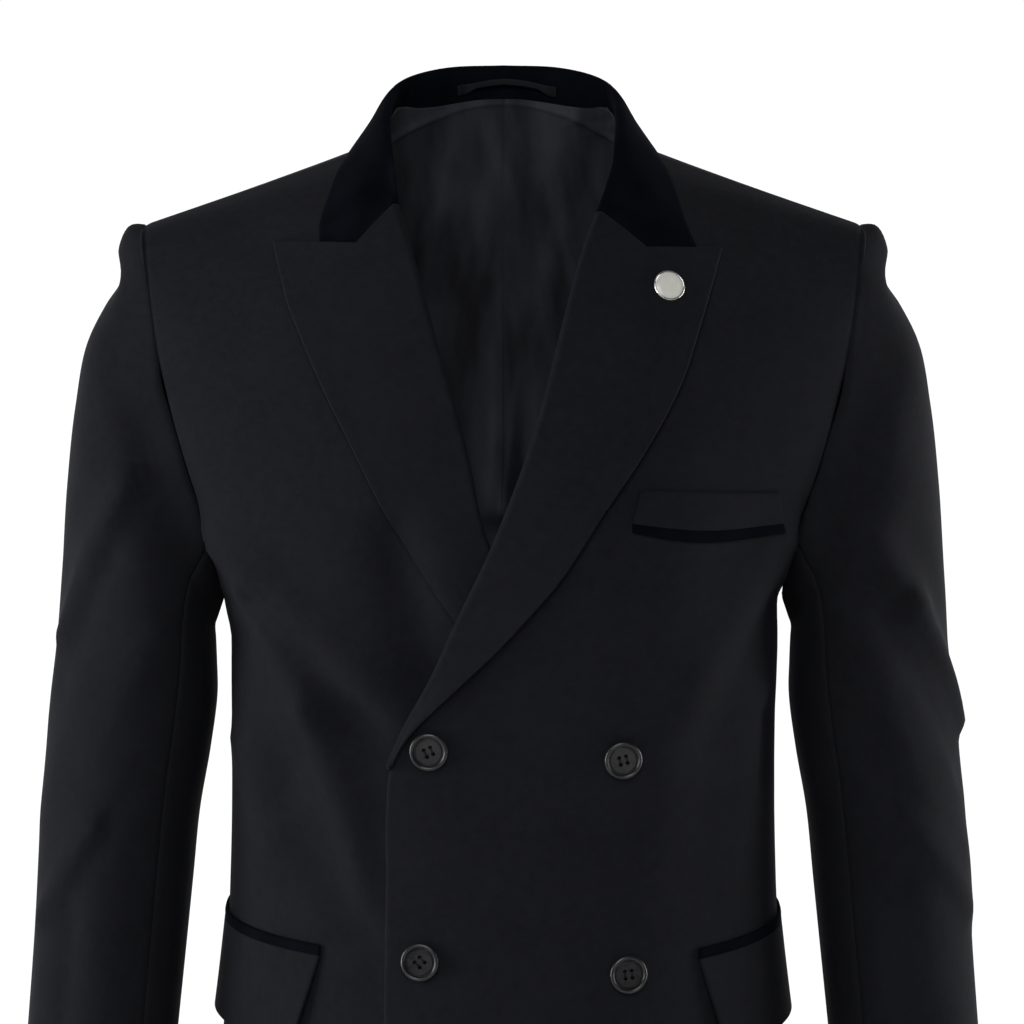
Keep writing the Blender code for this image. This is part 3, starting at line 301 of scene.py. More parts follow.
# How far the pressed armhole seam brings both cloths out, by the sleeve's turn from its top. It dies out
# over EASE_SPREAD degrees of the body and SLEEVE_EASE of the sleeve.
EASE_SPREAD = 14.0
SLEEVE_EASE = 0.055
Ease = namedtuple("Ease", "down front back")
ARMHOLE_EASE = (
    Ease(0.0, 0.0000, 0.0000),
    Ease(50.0, 0.0012, 0.0008),
    Ease(90.0, 0.0033, 0.0020),
    Ease(120.0, 0.0050, 0.0026),
    Ease(150.0, 0.0030, 0.0016),
    Ease(180.0, 0.0000, 0.0000),
)
# Turns are degrees round the sleeve: 0 at its outer side, 90 at the front, 180 underneath.
SleeveFold = namedtuple(
    "SleeveFold", "start_turn start_z end_turn end_z width start_height end_height lean"
)
SLEEVE_FOLDS_LEFT = (
    SleeveFold(100.0, -0.236, 62.0, -0.290, 0.014, 0.0035, 0.0050, 0.6),
    SleeveFold(62.0, -0.290, 8.0, -0.372, 0.012, 0.0052, 0.0060, 0.6),
    SleeveFold(84.0, -0.300, 20.0, -0.402, 0.011, -0.0030, -0.0020, 1.0),
    SleeveFold(56.0, -0.252, 16.0, -0.320, 0.014, -0.0022, -0.0014, 1.0),
    SleeveFold(95.0, -0.150, 40.0, -0.215, 0.014, 0.0016, 0.0006, 1.0),
    SleeveFold(110.0, -0.300, 62.0, -0.420, 0.012, 0.0026, 0.0012, 1.0),
    SleeveFold(80.0, -0.430, 25.0, -0.490, 0.014, 0.0042, 0.0036, 0.7),
    SleeveFold(112.0, -0.395, 70.0, -0.470, 0.011, 0.0020, 0.0010, 1.0),
    SleeveFold(20.0, -0.455, -30.0, -0.520, 0.014, 0.0018, 0.0010, 1.0),
    SleeveFold(-40.0, -0.250, -95.0, -0.330, 0.014, 0.0030, 0.0014, 1.0),
    SleeveFold(-60.0, -0.380, -110.0, -0.415, 0.012, 0.0028, 0.0014, 1.0),
    SleeveFold(-70.0, -0.430, -108.0, -0.452, 0.010, -0.0016, -0.0010, 1.0),
    SleeveFold(52.0, -0.560, 48.0, -0.690, 0.016, 0.0016, 0.0012, 1.0),
)
SLEEVE_FOLDS_RIGHT = (
    SleeveFold(82.0, -0.216, 36.0, -0.312, 0.012, 0.0056, 0.0060, 0.6),
    SleeveFold(70.0, -0.262, 36.0, -0.340, 0.010, -0.0028, -0.0016, 1.0),
    SleeveFold(62.0, -0.196, 26.0, -0.262, 0.012, -0.0020, -0.0012, 1.0),
    SleeveFold(95.0, -0.140, 45.0, -0.200, 0.014, 0.0016, 0.0006, 1.0),
    SleeveFold(108.0, -0.310, 60.0, -0.410, 0.012, 0.0024, 0.0012, 1.0),
    SleeveFold(60.0, -0.350, 24.0, -0.430, 0.016, 0.0020, 0.0010, 1.0),
    SleeveFold(78.0, -0.436, 38.0, -0.494, 0.012, 0.0050, 0.0044, 0.6),
    SleeveFold(110.0, -0.400, 66.0, -0.462, 0.011, -0.0018, -0.0010, 1.0),
    SleeveFold(64.0, -0.488, 60.0, -0.690, 0.010, -0.0026, -0.0016, 1.0),
    SleeveFold(40.0, -0.500, 36.0, -0.690, 0.016, 0.0018, 0.0010, 1.0),
    SleeveFold(30.0, -0.330, -20.0, -0.400, 0.016, 0.0018, 0.0008, 1.0),
    SleeveFold(-45.0, -0.260, -98.0, -0.345, 0.014, 0.0030, 0.0014, 1.0),
    SleeveFold(-62.0, -0.392, -108.0, -0.428, 0.012, 0.0026, 0.0014, 1.0),
)

# Pockets on the fronts. Flaps go round the side, so their ends are given as turns.
Flap = namedtuple("Flap", "front_turn rear_turn front_z rear_z")
FLAP_LEFT = Flap(42.8, 103.0, -0.5110, -0.4950)
FLAP_RIGHT = Flap(39.8, 103.0, -0.5085, -0.4935)
FLAP_DEPTH = 0.058
FLAP_LEAN = 6.0
TRIM = 0.0062
Welt = namedtuple("Welt", "inner_x outer_x inner_z outer_z sag")
WELT_TOP = Welt(0.0835, 0.1735, -0.2163, -0.2180, 0.000)
WELT_FOOT = Welt(0.0788, 0.1722, -0.2353, -0.2352, 0.0045)
WELT_TRIM = 0.0072
POCKET_LIFT = 0.0007

Button = namedtuple("Button", "name x z turn seat")
BUTTONS = (
    Button("button_upper_right", -0.0453, -0.3755, 25.0, 0.0005),
    Button("button_upper_left", 0.0733, -0.3812, 14.0, -0.0002),
    Button("button_lower_right", -0.0511, -0.5094, 45.0, 0.0005),
    Button("button_lower_left", 0.0773, -0.5178, 6.0, -0.0002),
)
# Profiles of turned pieces, a row per point: radius and height.
ProfilePoint = namedtuple("ProfilePoint", "radius height")
BUTTON_PROFILE = (
    ProfilePoint(0.0000, 0.0000),
    ProfilePoint(0.0080, 0.0000),
    ProfilePoint(0.0104, 0.0006),
    ProfilePoint(0.0116, 0.0016),
    ProfilePoint(0.0120, 0.0026),
    ProfilePoint(0.0119, 0.0034),
    ProfilePoint(0.0115, 0.0040),
    ProfilePoint(0.0108, 0.0043),
    ProfilePoint(0.0101, 0.0042),
    ProfilePoint(0.0096, 0.0037),
    ProfilePoint(0.0092, 0.0029),
    ProfilePoint(0.0089, 0.0024),
    ProfilePoint(0.0085, 0.0024),
    ProfilePoint(0.0080, 0.0028),
    ProfilePoint(0.0060, 0.0028),
    ProfilePoint(0.0000, 0.0026),
)
BUTTON_HOLE = 0.00125
BUTTON_PITCH = 0.0044
# A thread hops from hole to hole: shares of the half pitch, and heights over the button's foot.
ThreadHop = namedtuple("ThreadHop", "share height")
THREAD_HOPS = (
    ThreadHop(-1.0, 0.0004),
    ThreadHop(-1.0, 0.0022),
    ThreadHop(-0.6, 0.0027),
    ThreadHop(0.0, 0.0028),
    ThreadHop(0.6, 0.0027),
    ThreadHop(1.0, 0.0022),
    ThreadHop(1.0, 0.0004),
)
STRAND = 0.0003
PIN_PLACE = (0.1032, -0.0899)
PIN_PROFILE = (
    ProfilePoint(0.0000, 0.0000),
    ProfilePoint(0.0092, 0.0000),
    ProfilePoint(0.0100, 0.0004),
    ProfilePoint(0.0102, 0.0010),
    ProfilePoint(0.0100, 0.0016),
    ProfilePoint(0.0096, 0.0019),
    ProfilePoint(0.0091, 0.0018),
    ProfilePoint(0.0088, 0.0013),
    ProfilePoint(0.0085, 0.0015),
    ProfilePoint(0.0050, 0.0018),
    ProfilePoint(0.0000, 0.0019),
)
PIN_RIM = 0.0087
PIN_SEAT = 0.0004

LOOP_START = -0.127
LOOP_END = 0.150
LOOP_WIDTH = 0.0065
LOOP_BOW = 0.0025
LOOP_ACROSS = 0.31
LOOP_OFF = 0.0016
TACK_ENDS = (0.035, 0.965)
TACK_REACH = 0.012
TACK_RADIUS = 0.00022

LINING_TOP = 0.0078
LINING_FOOT = 0.363
LINING_GAP = 0.0005
LINING_CLIMB = 0.0240
LINING_LAP = 0.0004
LINING_OFF_STAND = 0.0012
LINING_SHOULDER = 0.0012
LINING_STAND_FOOT = 0.10
LINING_SLOPE = 0.16

SideSeam = namedtuple("SideSeam", "down turn")
SIDE_SEAM = (
    SideSeam(0.000, 90.0),
    SideSeam(0.285, 90.0),
    SideSeam(0.345, 97.0),
    SideSeam(0.420, 104.0),
    SideSeam(0.900, 106.0),
)

# Cut of each cloth piece laid flat: width, length and area, in metres.
Cut = namedtuple("Cut", "piece width length area")
CUTS = (
    Cut("front_left", 0.46, 0.93, 0.30),
    Cut("front_right", 0.46, 0.93, 0.30),
    Cut("back_left", 0.26, 0.93, 0.20),
    Cut("back_right", 0.26, 0.93, 0.20),
    Cut("back_lining_left", 0.24, 0.36, 0.08),
    Cut("back_lining_right", 0.24, 0.36, 0.08),
    Cut("top_sleeve_left", 0.26, 0.68, 0.13),
    Cut("top_sleeve_right", 0.26, 0.68, 0.13),
    Cut("under_sleeve_left", 0.16, 0.50, 0.06),
    Cut("under_sleeve_right", 0.16, 0.50, 0.06),
    Cut("lapel_left", 0.13, 0.33, 0.03),
    Cut("lapel_right", 0.13, 0.30, 0.03),
    Cut("collar", 0.10, 0.46, 0.04),
    Cut("hanger_loop", 0.0100, 0.066, 0.0004),
    Cut("pocket_flap_left", 0.06, 0.16, 0.009),
    Cut("pocket_flap_right", 0.06, 0.16, 0.009),
    Cut("pocket_trim_left", 0.0100, 0.17, 0.0012),
    Cut("pocket_trim_right", 0.0100, 0.17, 0.0012),
    Cut("chest_welt", 0.026, 0.10, 0.0022),
    Cut("chest_welt_trim", 0.0100, 0.10, 0.0007),
)

# The stage: each softbox has a share of the power that its setting gives.
Softbox = namedtuple("Softbox", "name setting share size x y z")
SOFTBOXES = (
    Softbox("softbox_front", "key", 1.0, 1.5, -0.2, -2.9, 1.50),
    Softbox("softbox_left", "sides", 0.8, 1.1, 2.2, 0.3, -0.35),
    Softbox("softbox_right", "sides", 1.0, 1.1, -2.2, -0.5, -0.30),
)
SOFTBOX_TALL = 1.3
LIGHT_TARGET = Vector((0.0, 0.0, -0.25))
FLOOR_RADIUS = 1.75
FLOOR_GAP = 0.030
CAMERA_PLACE = (0.0058, -2.7, -0.07)
CAMERA_PITCH = 3.503
CAMERA_LENS = 146.3


def curve(knots, values, at):
    """Cubic through the values, each knot's slope taken from the spans beside it."""
    knots = np.asarray(knots, float)
    values = np.asarray(values, float)
    at = np.clip(at, knots[0], knots[-1])
    span = np.clip(np.searchsorted(knots, at) - 1, 0, len(knots) - 2)
    widths = np.diff(knots)
    spread = widths.reshape((-1,) + (1,) * (values.ndim - 1))
    rise = np.diff(values, axis=0) / spread
    inner = (rise[:-1] * spread[1:] + rise[1:] * spread[:-1]) / (spread[:-1] + spread[1:])
    slope = np.concatenate((rise[:1], inner, rise[-1:]))
    length = widths[span]
    t = (at - knots[span]) / length

    def pick(rows, index):
        return rows[index, np.arange(len(index))] if values.ndim == 3 else rows[index]

    if values.ndim == 3:
        t, length = t[:, None], length[:, None]
    low, high = pick(values, span), pick(values, span + 1)
    leave = (t - 2.0 * t * t + t ** 3) * length * pick(slope, span)
    arrive = (t ** 3 - t * t) * length * pick(slope, span + 1)
    return low + (high - low) * t * t * (3.0 - 2.0 * t) + leave + arrive


def column_of(rows, name):
    return np.array([getattr(row, name) for row in rows], float)


def smooth(rows, name, at):
    """The table column read at a length between its rows."""
    return curve(column_of(rows, "down"), column_of(rows, name), at)


def step(start, end, at):
    """Soft step from 0 at start to 1 at end."""
    t = np.clip((at - start) / (end - start), 0.0, 1.0)
    return t * t * (3.0 - 2.0 * t)


def unit(vectors):
    return vectors / np.maximum(np.linalg.norm(vectors, axis=-1, keepdims=True), 1e-12)


def dots(a, b):
    return np.sum(a * b, axis=-1, keepdims=True)


def lerp(a, b, share):
    return a + (b - a) * np.asarray(share)[..., None]


def choose(mask, a, b):
    return np.where(mask[:, None], a, b)


def xyz(x, y, z):
    return np.stack(np.broadcast_arrays(x, y, z), axis=-1)


def section(rows, edges, down, from_centre):
    """Points of the body's sections, their edges read from the edges table."""
    across = np.sin(np.radians(from_centre))
    share = np.minimum(np.abs(across), 1.0)
    fullness = smooth(rows, "fullness", down)
    bow = np.maximum(1.0 - share ** fullness, 0.0) ** (1.0 / fullness)
    edge_y, edge_z = smooth(edges, "edge_y", down), smooth(edges, "edge_z", down)
    centre_y, centre_z = smooth(rows, "centre_y", down), smooth(rows, "centre_z", down)
    slope = share ** (0.95 + 0.65 * step(0.0, 0.12, down))
    return xyz(
        smooth(edges, "edge_x", down) * across,
        edge_y + (centre_y - edge_y) * bow,
        centre_z + (edge_z - centre_z) * slope,
    )


def neck_point(row, from_centre):
    """Points of one of the back's top rows: round the neck, then along the shoulder."""
    x = row.edge_x * np.sin(np.radians(from_centre))
    soft = 0.35 if row.down > 0.0 else 0.0
    arc = np.sqrt(np.clip(1.0 - (x / row.neck_x) ** 2, 0.0, 1.0) + soft ** 2) - soft
    arc = arc / (math.hypot(1.0, soft) - soft)
    y = row.neck_y + (row.nape_y - row.neck_y) * arc
    z = row.neck_z + (row.nape_z - row.neck_z) * arc ** 2
    if row.down == 0.0:
        beyond = section(FRONT, FRONT, np.zeros_like(x), from_centre)
    else:
        along = (x - row.neck_x) / (row.edge_x - row.neck_x)
        beyond_y = row.neck_y + (row.edge_y - row.neck_y) * along
        beyond = xyz(x, beyond_y, row.neck_z + (row.edge_z - row.neck_z) * along)
    return choose(x < row.neck_x, xyz(x, y, z), beyond)


def back_form(down, turn):
    from_centre = 180.0 - turn
    yoke = BACK[0].down
    upper = section(BACK, BACK, down, from_centre)
    lower = section(BACK, FRONT, down, from_centre)
    low = choose(down >= UNDERARM, lower, upper)
    tops = [neck_point(row, from_centre) for row in NECK_ROWS]
    tops.append(section(BACK, BACK, np.full_like(from_centre, yoke), from_centre))
    knots = [row.down for row in NECK_ROWS] + [yoke]
    return choose(down >= yoke, low, curve(knots, np.stack(tops), down))


def body(down, turn):
    """Points of the body's form: turn is 0 at centre front, 90 at the side and 180 at centre back."""
    down, turn = np.broadcast_arrays(np.asarray(down, float), np.asarray(turn, float))
    return choose(turn <= 90.0, section(FRONT, FRONT, down, turn), back_form(down, turn))


def form_normal(down, turn, low, high):
    along = body(down, np.minimum(turn + 1.5, high)) - body(down, np.maximum(turn - 1.5, low))
    drop = body(np.minimum(down + 0.002, HEM), turn) - body(np.maximum(down - 0.002, 0.0), turn)
    return unit(np.cross(drop, along))


def body_normal(down, turn):
    """Outward normal of the form, shared by front and back along the shoulder seam."""
    down, turn = np.broadcast_arrays(np.asarray(down, float), np.asarray(turn, float))
    front, joined = turn <= 90.0, down >= UNDERARM
    low = np.where(front | joined, -60.0, 90.001)
    high = np.where(front & ~joined, 90.0, 180.0)
    away = form_normal(down, turn, low, high)
    near = 1.0 - step(0.0, 0.03, down)
    other_low, other_high = np.where(front, 90.001, -60.0), np.where(front, 180.0, 90.0)
    across = form_normal(np.zeros_like(down), 180.0 - turn, other_low, other_high)
    shared = (near > 0.0) & (turn >= 15.0) & (turn <= 160.0)
    return choose(shared, unit(away + across * near[:, None]), away)


def down_at(height, z):
    """Length down the body where its height, which falls with that length, comes to z."""
    low, high = np.zeros_like(z), np.full_like(z, HEM)
    for _ in range(HALVINGS):
        middle = 0.5 * (low + high)
        above = height(middle) > z
        low, high = np.where(above, middle, low), np.where(above, high, middle)
    return 0.5 * (low + high)


def fold_height(folds, across, up):
    """Height of the soft ridges and troughs at places given across and up the cloth."""
    total = np.zeros_like(across)
    for start_a, start_u, end_a, end_u, width, start_height, end_height, lean in folds:
        run_a, run_u = end_a - start_a, end_u - start_u
        length = math.hypot(run_a, run_u)
        along = np.clip(((across - start_a) * run_a + (up - start_u) * run_u) / length ** 2, 0.0, 1.0)
        off_a, off_u = across - start_a - run_a * along, up - start_u - run_u * along
        beside = np.where(off_a * run_u - off_u * run_a > 0.0, width, width * lean)
        height = start_height + (end_height - start_height) * along
        total += height * np.exp(-(off_a ** 2 + off_u ** 2) / beside ** 2)
    return total


def lap_height(x, z):
    """How far the left front rides over what lies under it."""
    stack = LAP_LOW + (LAP_HIGH - LAP_LOW) * step(-0.46, -0.37, z)
    return stack * (1.0 - step(-0.235, -0.12, z)) * (1.0 - step(0.095, 0.185, x))


class Front:
    """One front: its folds, its lap and the edge it is cut to."""

    def __init__(self, edge_column, folds, laps):
        self.edge_column = edge_column
        self.folds = folds
        self.laps = laps

    def at(self, down, turn, lift=0.0):
        point = body(down, turn)
        rise = fold_height(self.folds, point[:, 0], point[:, 2]) + lift
        if self.laps:
            rise = rise + lap_height(point[:, 0], point[:, 2])
        return point + body_normal(down, turn) * rise[:, None]

    def edge_turn(self, down):
        share = smooth(FRONT_EDGE, self.edge_column, down) / smooth(FRONT, "edge_x", down)
        return np.degrees(np.arcsin(share))

    def spot(self, x, z, lift=0.0):
        """Points of the front at these places as seen from the front."""
        x, z = np.broadcast_arrays(np.asarray(x, float), np.asarray(z, float))

        def turn_at(down):
            share = x / smooth(FRONT, "edge_x", down)
            return np.degrees(np.arcsin(np.clip(share, -1.0, 1.0)))

        down = down_at(lambda down: section(FRONT, FRONT, down, turn_at(down))[:, 2], z)
        return self.at(down, turn_at(down), lift)

    def edge_frame(self, down):
        """The edge's points, their normals and the way into the panel."""
        turn = self.edge_turn(down)
        point = self.at(down, turn)
        return point, body_normal(down, turn), unit(self.at(down, turn + 2.0) - point)

    def roll(self, down, share):
        """Points of the rolled edge: share 0 is inside the coat, 0.5 the outermost line, 1 outside."""
        point, away, inward = self.edge_frame(down)
        around = (np.pi * np.broadcast_to(np.asarray(share, float), down.shape))[:, None]
        middle = point - away * ROLL_DEPTH
        return middle - (away * np.cos(around) + inward * np.sin(around)) * ROLL_RADIUS


LEFT_FRONT = Front("over", FRONT_FOLDS_LEFT, True)
RIGHT_FRONT = Front("under", FRONT_FOLDS_RIGHT, False)


def spaced(*stops):
    """Grid lines: each stop is (start, end, count)."""
    lines = [stops[0][0]]
    for start, end, count in stops:
        lines += [start + (end - start) * (i + 1) / count for i in range(count)]
    return np.array(lines)


def side_seam(down):
    return curve(column_of(SIDE_SEAM, "down"), column_of(SIDE_SEAM, "turn"), down)


def around_armhole(down):
    """The sleeve's turn that meets the body's edge at this length down, and 180 from the underarm on."""
    return np.degrees(np.arccos(np.clip(1.0 - 2.0 * down / UNDERARM, -1.0, 1.0)))


def body_ease(column, down, off_edge):
    """How far the armhole seam brings the body out, this many degrees off its edge."""
    near = np.clip(1.0 - off_edge / EASE_SPREAD, 0.0, 1.0)
    return smooth(ARMHOLE_EASE, column, around_armhole(down)) * near ** 2


def front_point(front, u, down):
    start = front.edge_turn(down)
    end = side_seam(down) - np.where(down >= UNDERARM, SIDE_CLEARANCE, 0.0)
    turn = start + (end - start) * u
    point = front.at(np.maximum(down, SHOULDER_START), turn)
    point[:, 1] -= body_ease("front", down, 90.0 - turn)
    return point


def back_turn(u, down):
    """Columns of the back: even round the neck, then even to the edge."""
    neck_turn = math.degrees(math.asin(NECK_X / NECK_ROWS[0].edge_x))
    x = NECK_X * np.sin(np.radians(np.minimum(90.0 * u / NECK_SHARE, 90.0)))
    inner = np.maximum(np.degrees(np.arcsin(x / NECK_ROWS[0].edge_x)), 0.04)
    end = 180.0 - np.maximum(side_seam(down) + SIDE_CLEARANCE, 90.02)
    outer = neck_turn + (end - neck_turn) * (u - NECK_SHARE) / (1.0 - NECK_SHARE)
    return 180.0 - np.where(u <= NECK_SHARE, inner, outer)


def back_at(down, turn, lift=0.0, folds=()):
    point = body(down, turn)
    point[:, 1] += body_ease("back", down, turn - 90.0)
    flutes = 0.006 * step(0.50, 0.90, down) * np.cos(np.radians((turn - 180.0) * 5.0))
    rise = flutes * step(106.0, 125.0, turn) + lift + fold_height(folds, point[:, 0], point[:, 2])
    return point + body_normal(down, turn) * rise[:, None]


def back_point(folds, u, down):
    return back_at(np.maximum(down, SHOULDER_START), back_turn(u, down), 0.0, folds)


def armhole(turn):
    """Points and normals of the body's edge where the sleeve's columns at these turns start."""
    down = UNDERARM * 0.5 * (1.0 - np.cos(np.radians(turn)))
    edge = np.where(turn >= 0.0, 90.0, 90.02)
    return body(down, edge), body_normal(down, edge)


def from_top(turn):
    """The sleeve's turn counted both ways from its top, so that the back half is negative."""
    return np.where(turn <= 180.0, turn, turn - 360.0)


def sleeve_form(turn, down):
    """Points of the sleeve: turn is 0 at the outer side, 90 at the front and 180 underneath."""
    wrapped = from_top(turn)
    cos, sin = np.cos(np.radians(turn)), np.sin(np.radians(turn))
    start = armhole(wrapped)[0]
    head, foot = (armhole(np.array([end]))[0][0] for end in (0.0, 180.0))
    rings = [start]
    for ring in SLEEVE:
        outer = np.array((ring.outer_x, 0.0, ring.outer_z))
        inner = np.array((ring.inner_x, 0.0, ring.inner_z))
        oval = 0.5 * (outer + inner) + 0.5 * (outer - inner) * cos[:, None]
        oval[:, 1] = 0.5 * (ring.front_y + ring.back_y) - 0.5 * (ring.back_y - ring.front_y) * sin
        near = (0.5 + 0.5 * cos)[:, None]
        moved = (outer - head) * near + (inner - foot) * (1.0 - near)
        moved[:, 1] = 0.0
        puffed = near ** 14 * (ring.puff, 0.0, 0.0)
        rings.append((start + moved) * (1.0 - ring.round) + oval * ring.round + puffed)
    knots = [0.0] + [ring.down for ring in SLEEVE]
    flat = step(14.0, 42.0, np.abs(wrapped))
    for i in range(1, HEAD_RINGS):
        straight = rings[0] + (rings[HEAD_RINGS] - rings[0]) * (knots[i] / knots[HEAD_RINGS])
        rings[i] = lerp(rings[i], straight, flat)
    return curve(knots, np.stack(rings), down)


def sleeve_normal(turn, down):
    along = sleeve_form(turn + 3.0, down) - sleeve_form(turn - 3.0, down)
    low, high = np.maximum(down - 0.004, 0.0), np.minimum(down + 0.004, SLEEVE_END)
    away = -unit(np.cross(sleeve_form(turn, high) - sleeve_form(turn, low), along))
    wrapped = from_top(turn)
    shared = (1.0 - step(60.0, 120.0, np.abs(wrapped))) * (1.0 - step(0.0, 0.025, down))
    return unit(lerp(away, armhole(wrapped)[1], shared))


def sleeve_point(folds, turn, down):
    point = sleeve_form(turn, down)
    round_way = np.radians(turn) * SLEEVE_RADIUS
    arcs = [
        row._replace(
            start_turn=math.radians(row.start_turn) * SLEEVE_RADIUS,
            end_turn=math.radians(row.end_turn) * SLEEVE_RADIUS,
        )
        for row in folds
    ]
    rise = fold_height(arcs, round_way, point[:, 2])
    puckers = 0.0004 * np.cos(np.radians(turn * 9.0)) * np.exp(-(((down - 0.012) / 0.010) ** 2))
    rise = rise + puckers * (1.0 - step(60.0, 100.0, np.abs(turn)))
    wrapped = from_top(turn)
    near = 1.0 - step(0.0, SLEEVE_EASE, down)
    point[:, 1] -= smooth(ARMHOLE_EASE, "front", np.maximum(wrapped, 0.0)) * near
    point[:, 1] += smooth(ARMHOLE_EASE, "back", np.maximum(-wrapped, 0.0)) * near
    return point + sleeve_normal(turn, down) * rise[:, None]


def lapel_point(front, table, notch, u, v):
    """Facing turned over the front's edge: a leg inside to u = 0, the roll to 1, the face to 2."""
    knots = np.linspace(0.0, 1.0, len(table))
    down = curve(knots, column_of(table, "roll_down"), v)
    point, away, inward = front.edge_frame(down)
    leg = point - away * (ROLL_DEPTH + ROLL_RADIUS) - inward * (u * LAPEL_LEG)[:, None]
    rolled = front.roll(down, np.clip(u, 0.0, 1.0))
    out = np.maximum(u - 1.0, 0.04)
    edge_x = curve(knots, column_of(table, "edge_x"), v)
    edge_z = curve(knots, column_of(table, "edge_z"), v)
    x = point[:, 0] + (edge_x - point[:, 0]) * out
    z = point[:, 2] + (edge_z - point[:, 2]) * out
    first = np.array([table[0].roll_down])
    top = front.at(first, front.edge_turn(first))[0]
    bend = np.maximum(1.0 - v / 0.30, 0.0) ** 2
    spring = step(0.0, 0.25, v) * (1.0 - step(0.80, 1.0, v))
    tent = np.where(out < NOTCH_SHARE, out / NOTCH_SHARE, (1.0 - out) / (1.0 - NOTCH_SHARE))
    x = x + (notch.notch_x - top[0] - (table[0].edge_x - top[0]) * NOTCH_SHARE) * bend * tent
    notch_z = notch.notch_z - NOTCH_DROP
    z = z + (notch_z - top[2] - (table[0].edge_z - top[2]) * NOTCH_SHARE) * bend * tent
    lift = LAPEL_LIFT + LAPEL_BELLY * np.sin(np.pi * out) + LAPEL_SPRING * out ** 2 * spring
    face = front.spot(x, z, lift)
    face = lerp(front.roll(down, 1.0), face, step(1.0, 1.25, u))
    return choose(u < 0.0, leg, choose(u <= 1.0, rolled, face))


def neck_edge(along):
    x = NECK_X * np.sin(np.pi * along)
    turn = 180.0 - np.degrees(np.arcsin(x / NECK_ROWS[0].edge_x))
    return back_at(np.full_like(x, SHOULDER_START), turn), turn


def neckline(front, gorge, along):
    """Points of the panels' neck edge, normals and the way into the panel, from centre back."""
    behind = np.minimum(along, 0.5)
    point, turn = neck_edge(behind)
    after, before = np.minimum(behind + 0.02, 0.5), np.maximum(behind - 0.02, 0.0)
    run = neck_edge(after)[0] - neck_edge(before)[0]
    away = body_normal(np.full_like(turn, SHOULDER_START), turn)
    into = unit(np.cross(run, away))
    into = into * np.where(dots(into[:, :2], point[:, :2]) < 0.0, -1.0, 1.0)
    on_front = front.edge_frame(np.maximum(along - 0.5, 0.0) * 2.0 * gorge)
    return [choose(along > 0.5, a, b) for a, b in zip(on_front, (point, away, into))]


def collar_section(front, gorge, notch, along, velvet):
    """Points across the collar: inside foot, stand, fold, leaf and its outer edge."""
    point, away, into = neckline(front, gorge, along)
    inside = COLLAR_INSIDE + velvet
    leg = COLLAR_LEG * (1.0 - 0.85 * np.exp(-(((along - 0.43) / 0.06) ** 2)))
    foot = point - away * inside + into * leg[:, None]
    under = point - away * inside - into * COLLAR_GAP
    round_edge = point - away * COLLAR_GAP - into * 0.0030
    end = front.roll(np.array([gorge]), 0.5)[0]
    fold_knots = np.append(column_of(COLLAR_FOLD, "down"), 1.0)
    fold = np.stack(
        [
            curve(fold_knots, np.append(column_of(COLLAR_FOLD, axis), at_gorge), along)
            for axis, at_gorge in zip("xyz", end)
        ],
        axis=-1,
    )
    lift = velvet + COLLAR_GAP
    behind = np.minimum(along, 0.5)
    back_x = COLLAR_LEAF[0].x * np.sin(np.pi * behind)
    turn = 180.0 - np.degrees(np.arcsin(back_x / NECK_ROWS[0].edge_x))
    leaf_back = back_at(np.maximum(LEAF_BACK * np.cos(np.pi * behind), 0.0005), turn, lift)
    leaf_knots = np.append(column_of(COLLAR_LEAF, "down"), 1.0)
    leaf_x = curve(leaf_knots, np.append(column_of(COLLAR_LEAF, "x"), notch.corner_x), along)
    leaf_z = curve(leaf_knots, np.append(column_of(COLLAR_LEAF, "z"), notch.corner_z), along)
    leaf = choose(along <= 0.5, leaf_back, front.spot(leaf_x, leaf_z, lift))
    flat = unit((leaf - foot) * (1.0, 1.0, 0.0))
    fall = unit(lerp(flat, away, 0.30 + 0.70 * step(0.70, 1.0, along)))
    crest = ROLL_RADIUS * 0.9
    tangent = unit(lerp(unit(fold - 0.5 * (foot + leaf)), -into, step(0.6, 0.95, along)))
    fall = unit(fall - tangent * dots(fall, tangent))
    inner = fold - tangent * crest - fall * crest
    outer = fold - tangent * crest + fall * crest
    middle = 0.5 * (outer + leaf)
    down = np.maximum(along - 0.5, 0.0) * 2.0 * gorge
    rolled = step(0.7, 1.0, along)
    round_edge = lerp(round_edge, front.roll(down, 0.14), rolled)
    inner = lerp(inner, front.roll(down, 0.30), rolled)
    outer = lerp(outer, front.roll(down, 0.86), rolled)
    resting = front.spot(middle[:, 0], middle[:, 2], lift + COLLAR_REST)
    lying = choose(resting[:, 1] < middle[:, 1], resting, middle)
    middle = lerp(middle, lying, step(0.6, 0.7, along))
    at_notch = front.spot(np.array([notch.notch_x]), np.array([notch.notch_z]), lift)
    middle = lerp(middle, at_notch, step(0.86, 1.0, along))
    return np.stack((foot, under, round_edge, inner, fold, outer, middle, leaf))


def collar_point(along, across, velvet=0.0015):
    """Points of the collar: along is -1 and 1 at its ends, across runs from its foot to its outer edge."""
    places, index = np.unique(np.abs(along), return_inverse=True)
    left = collar_section(LEFT_FRONT, GORGE_LEFT, NOTCH_LEFT, places, velvet)[:, index]
    right = collar_section(RIGHT_FRONT, GORGE_RIGHT, NOTCH_RIGHT, places, velvet)[:, index]
    on_left = along >= 0.0
    point = choose(on_left, curve(COLLAR_KNOTS, left, across), curve(COLLAR_KNOTS, right, across))
    point[:, 0] *= np.where(on_left, 1.0, -1.0)
    return point


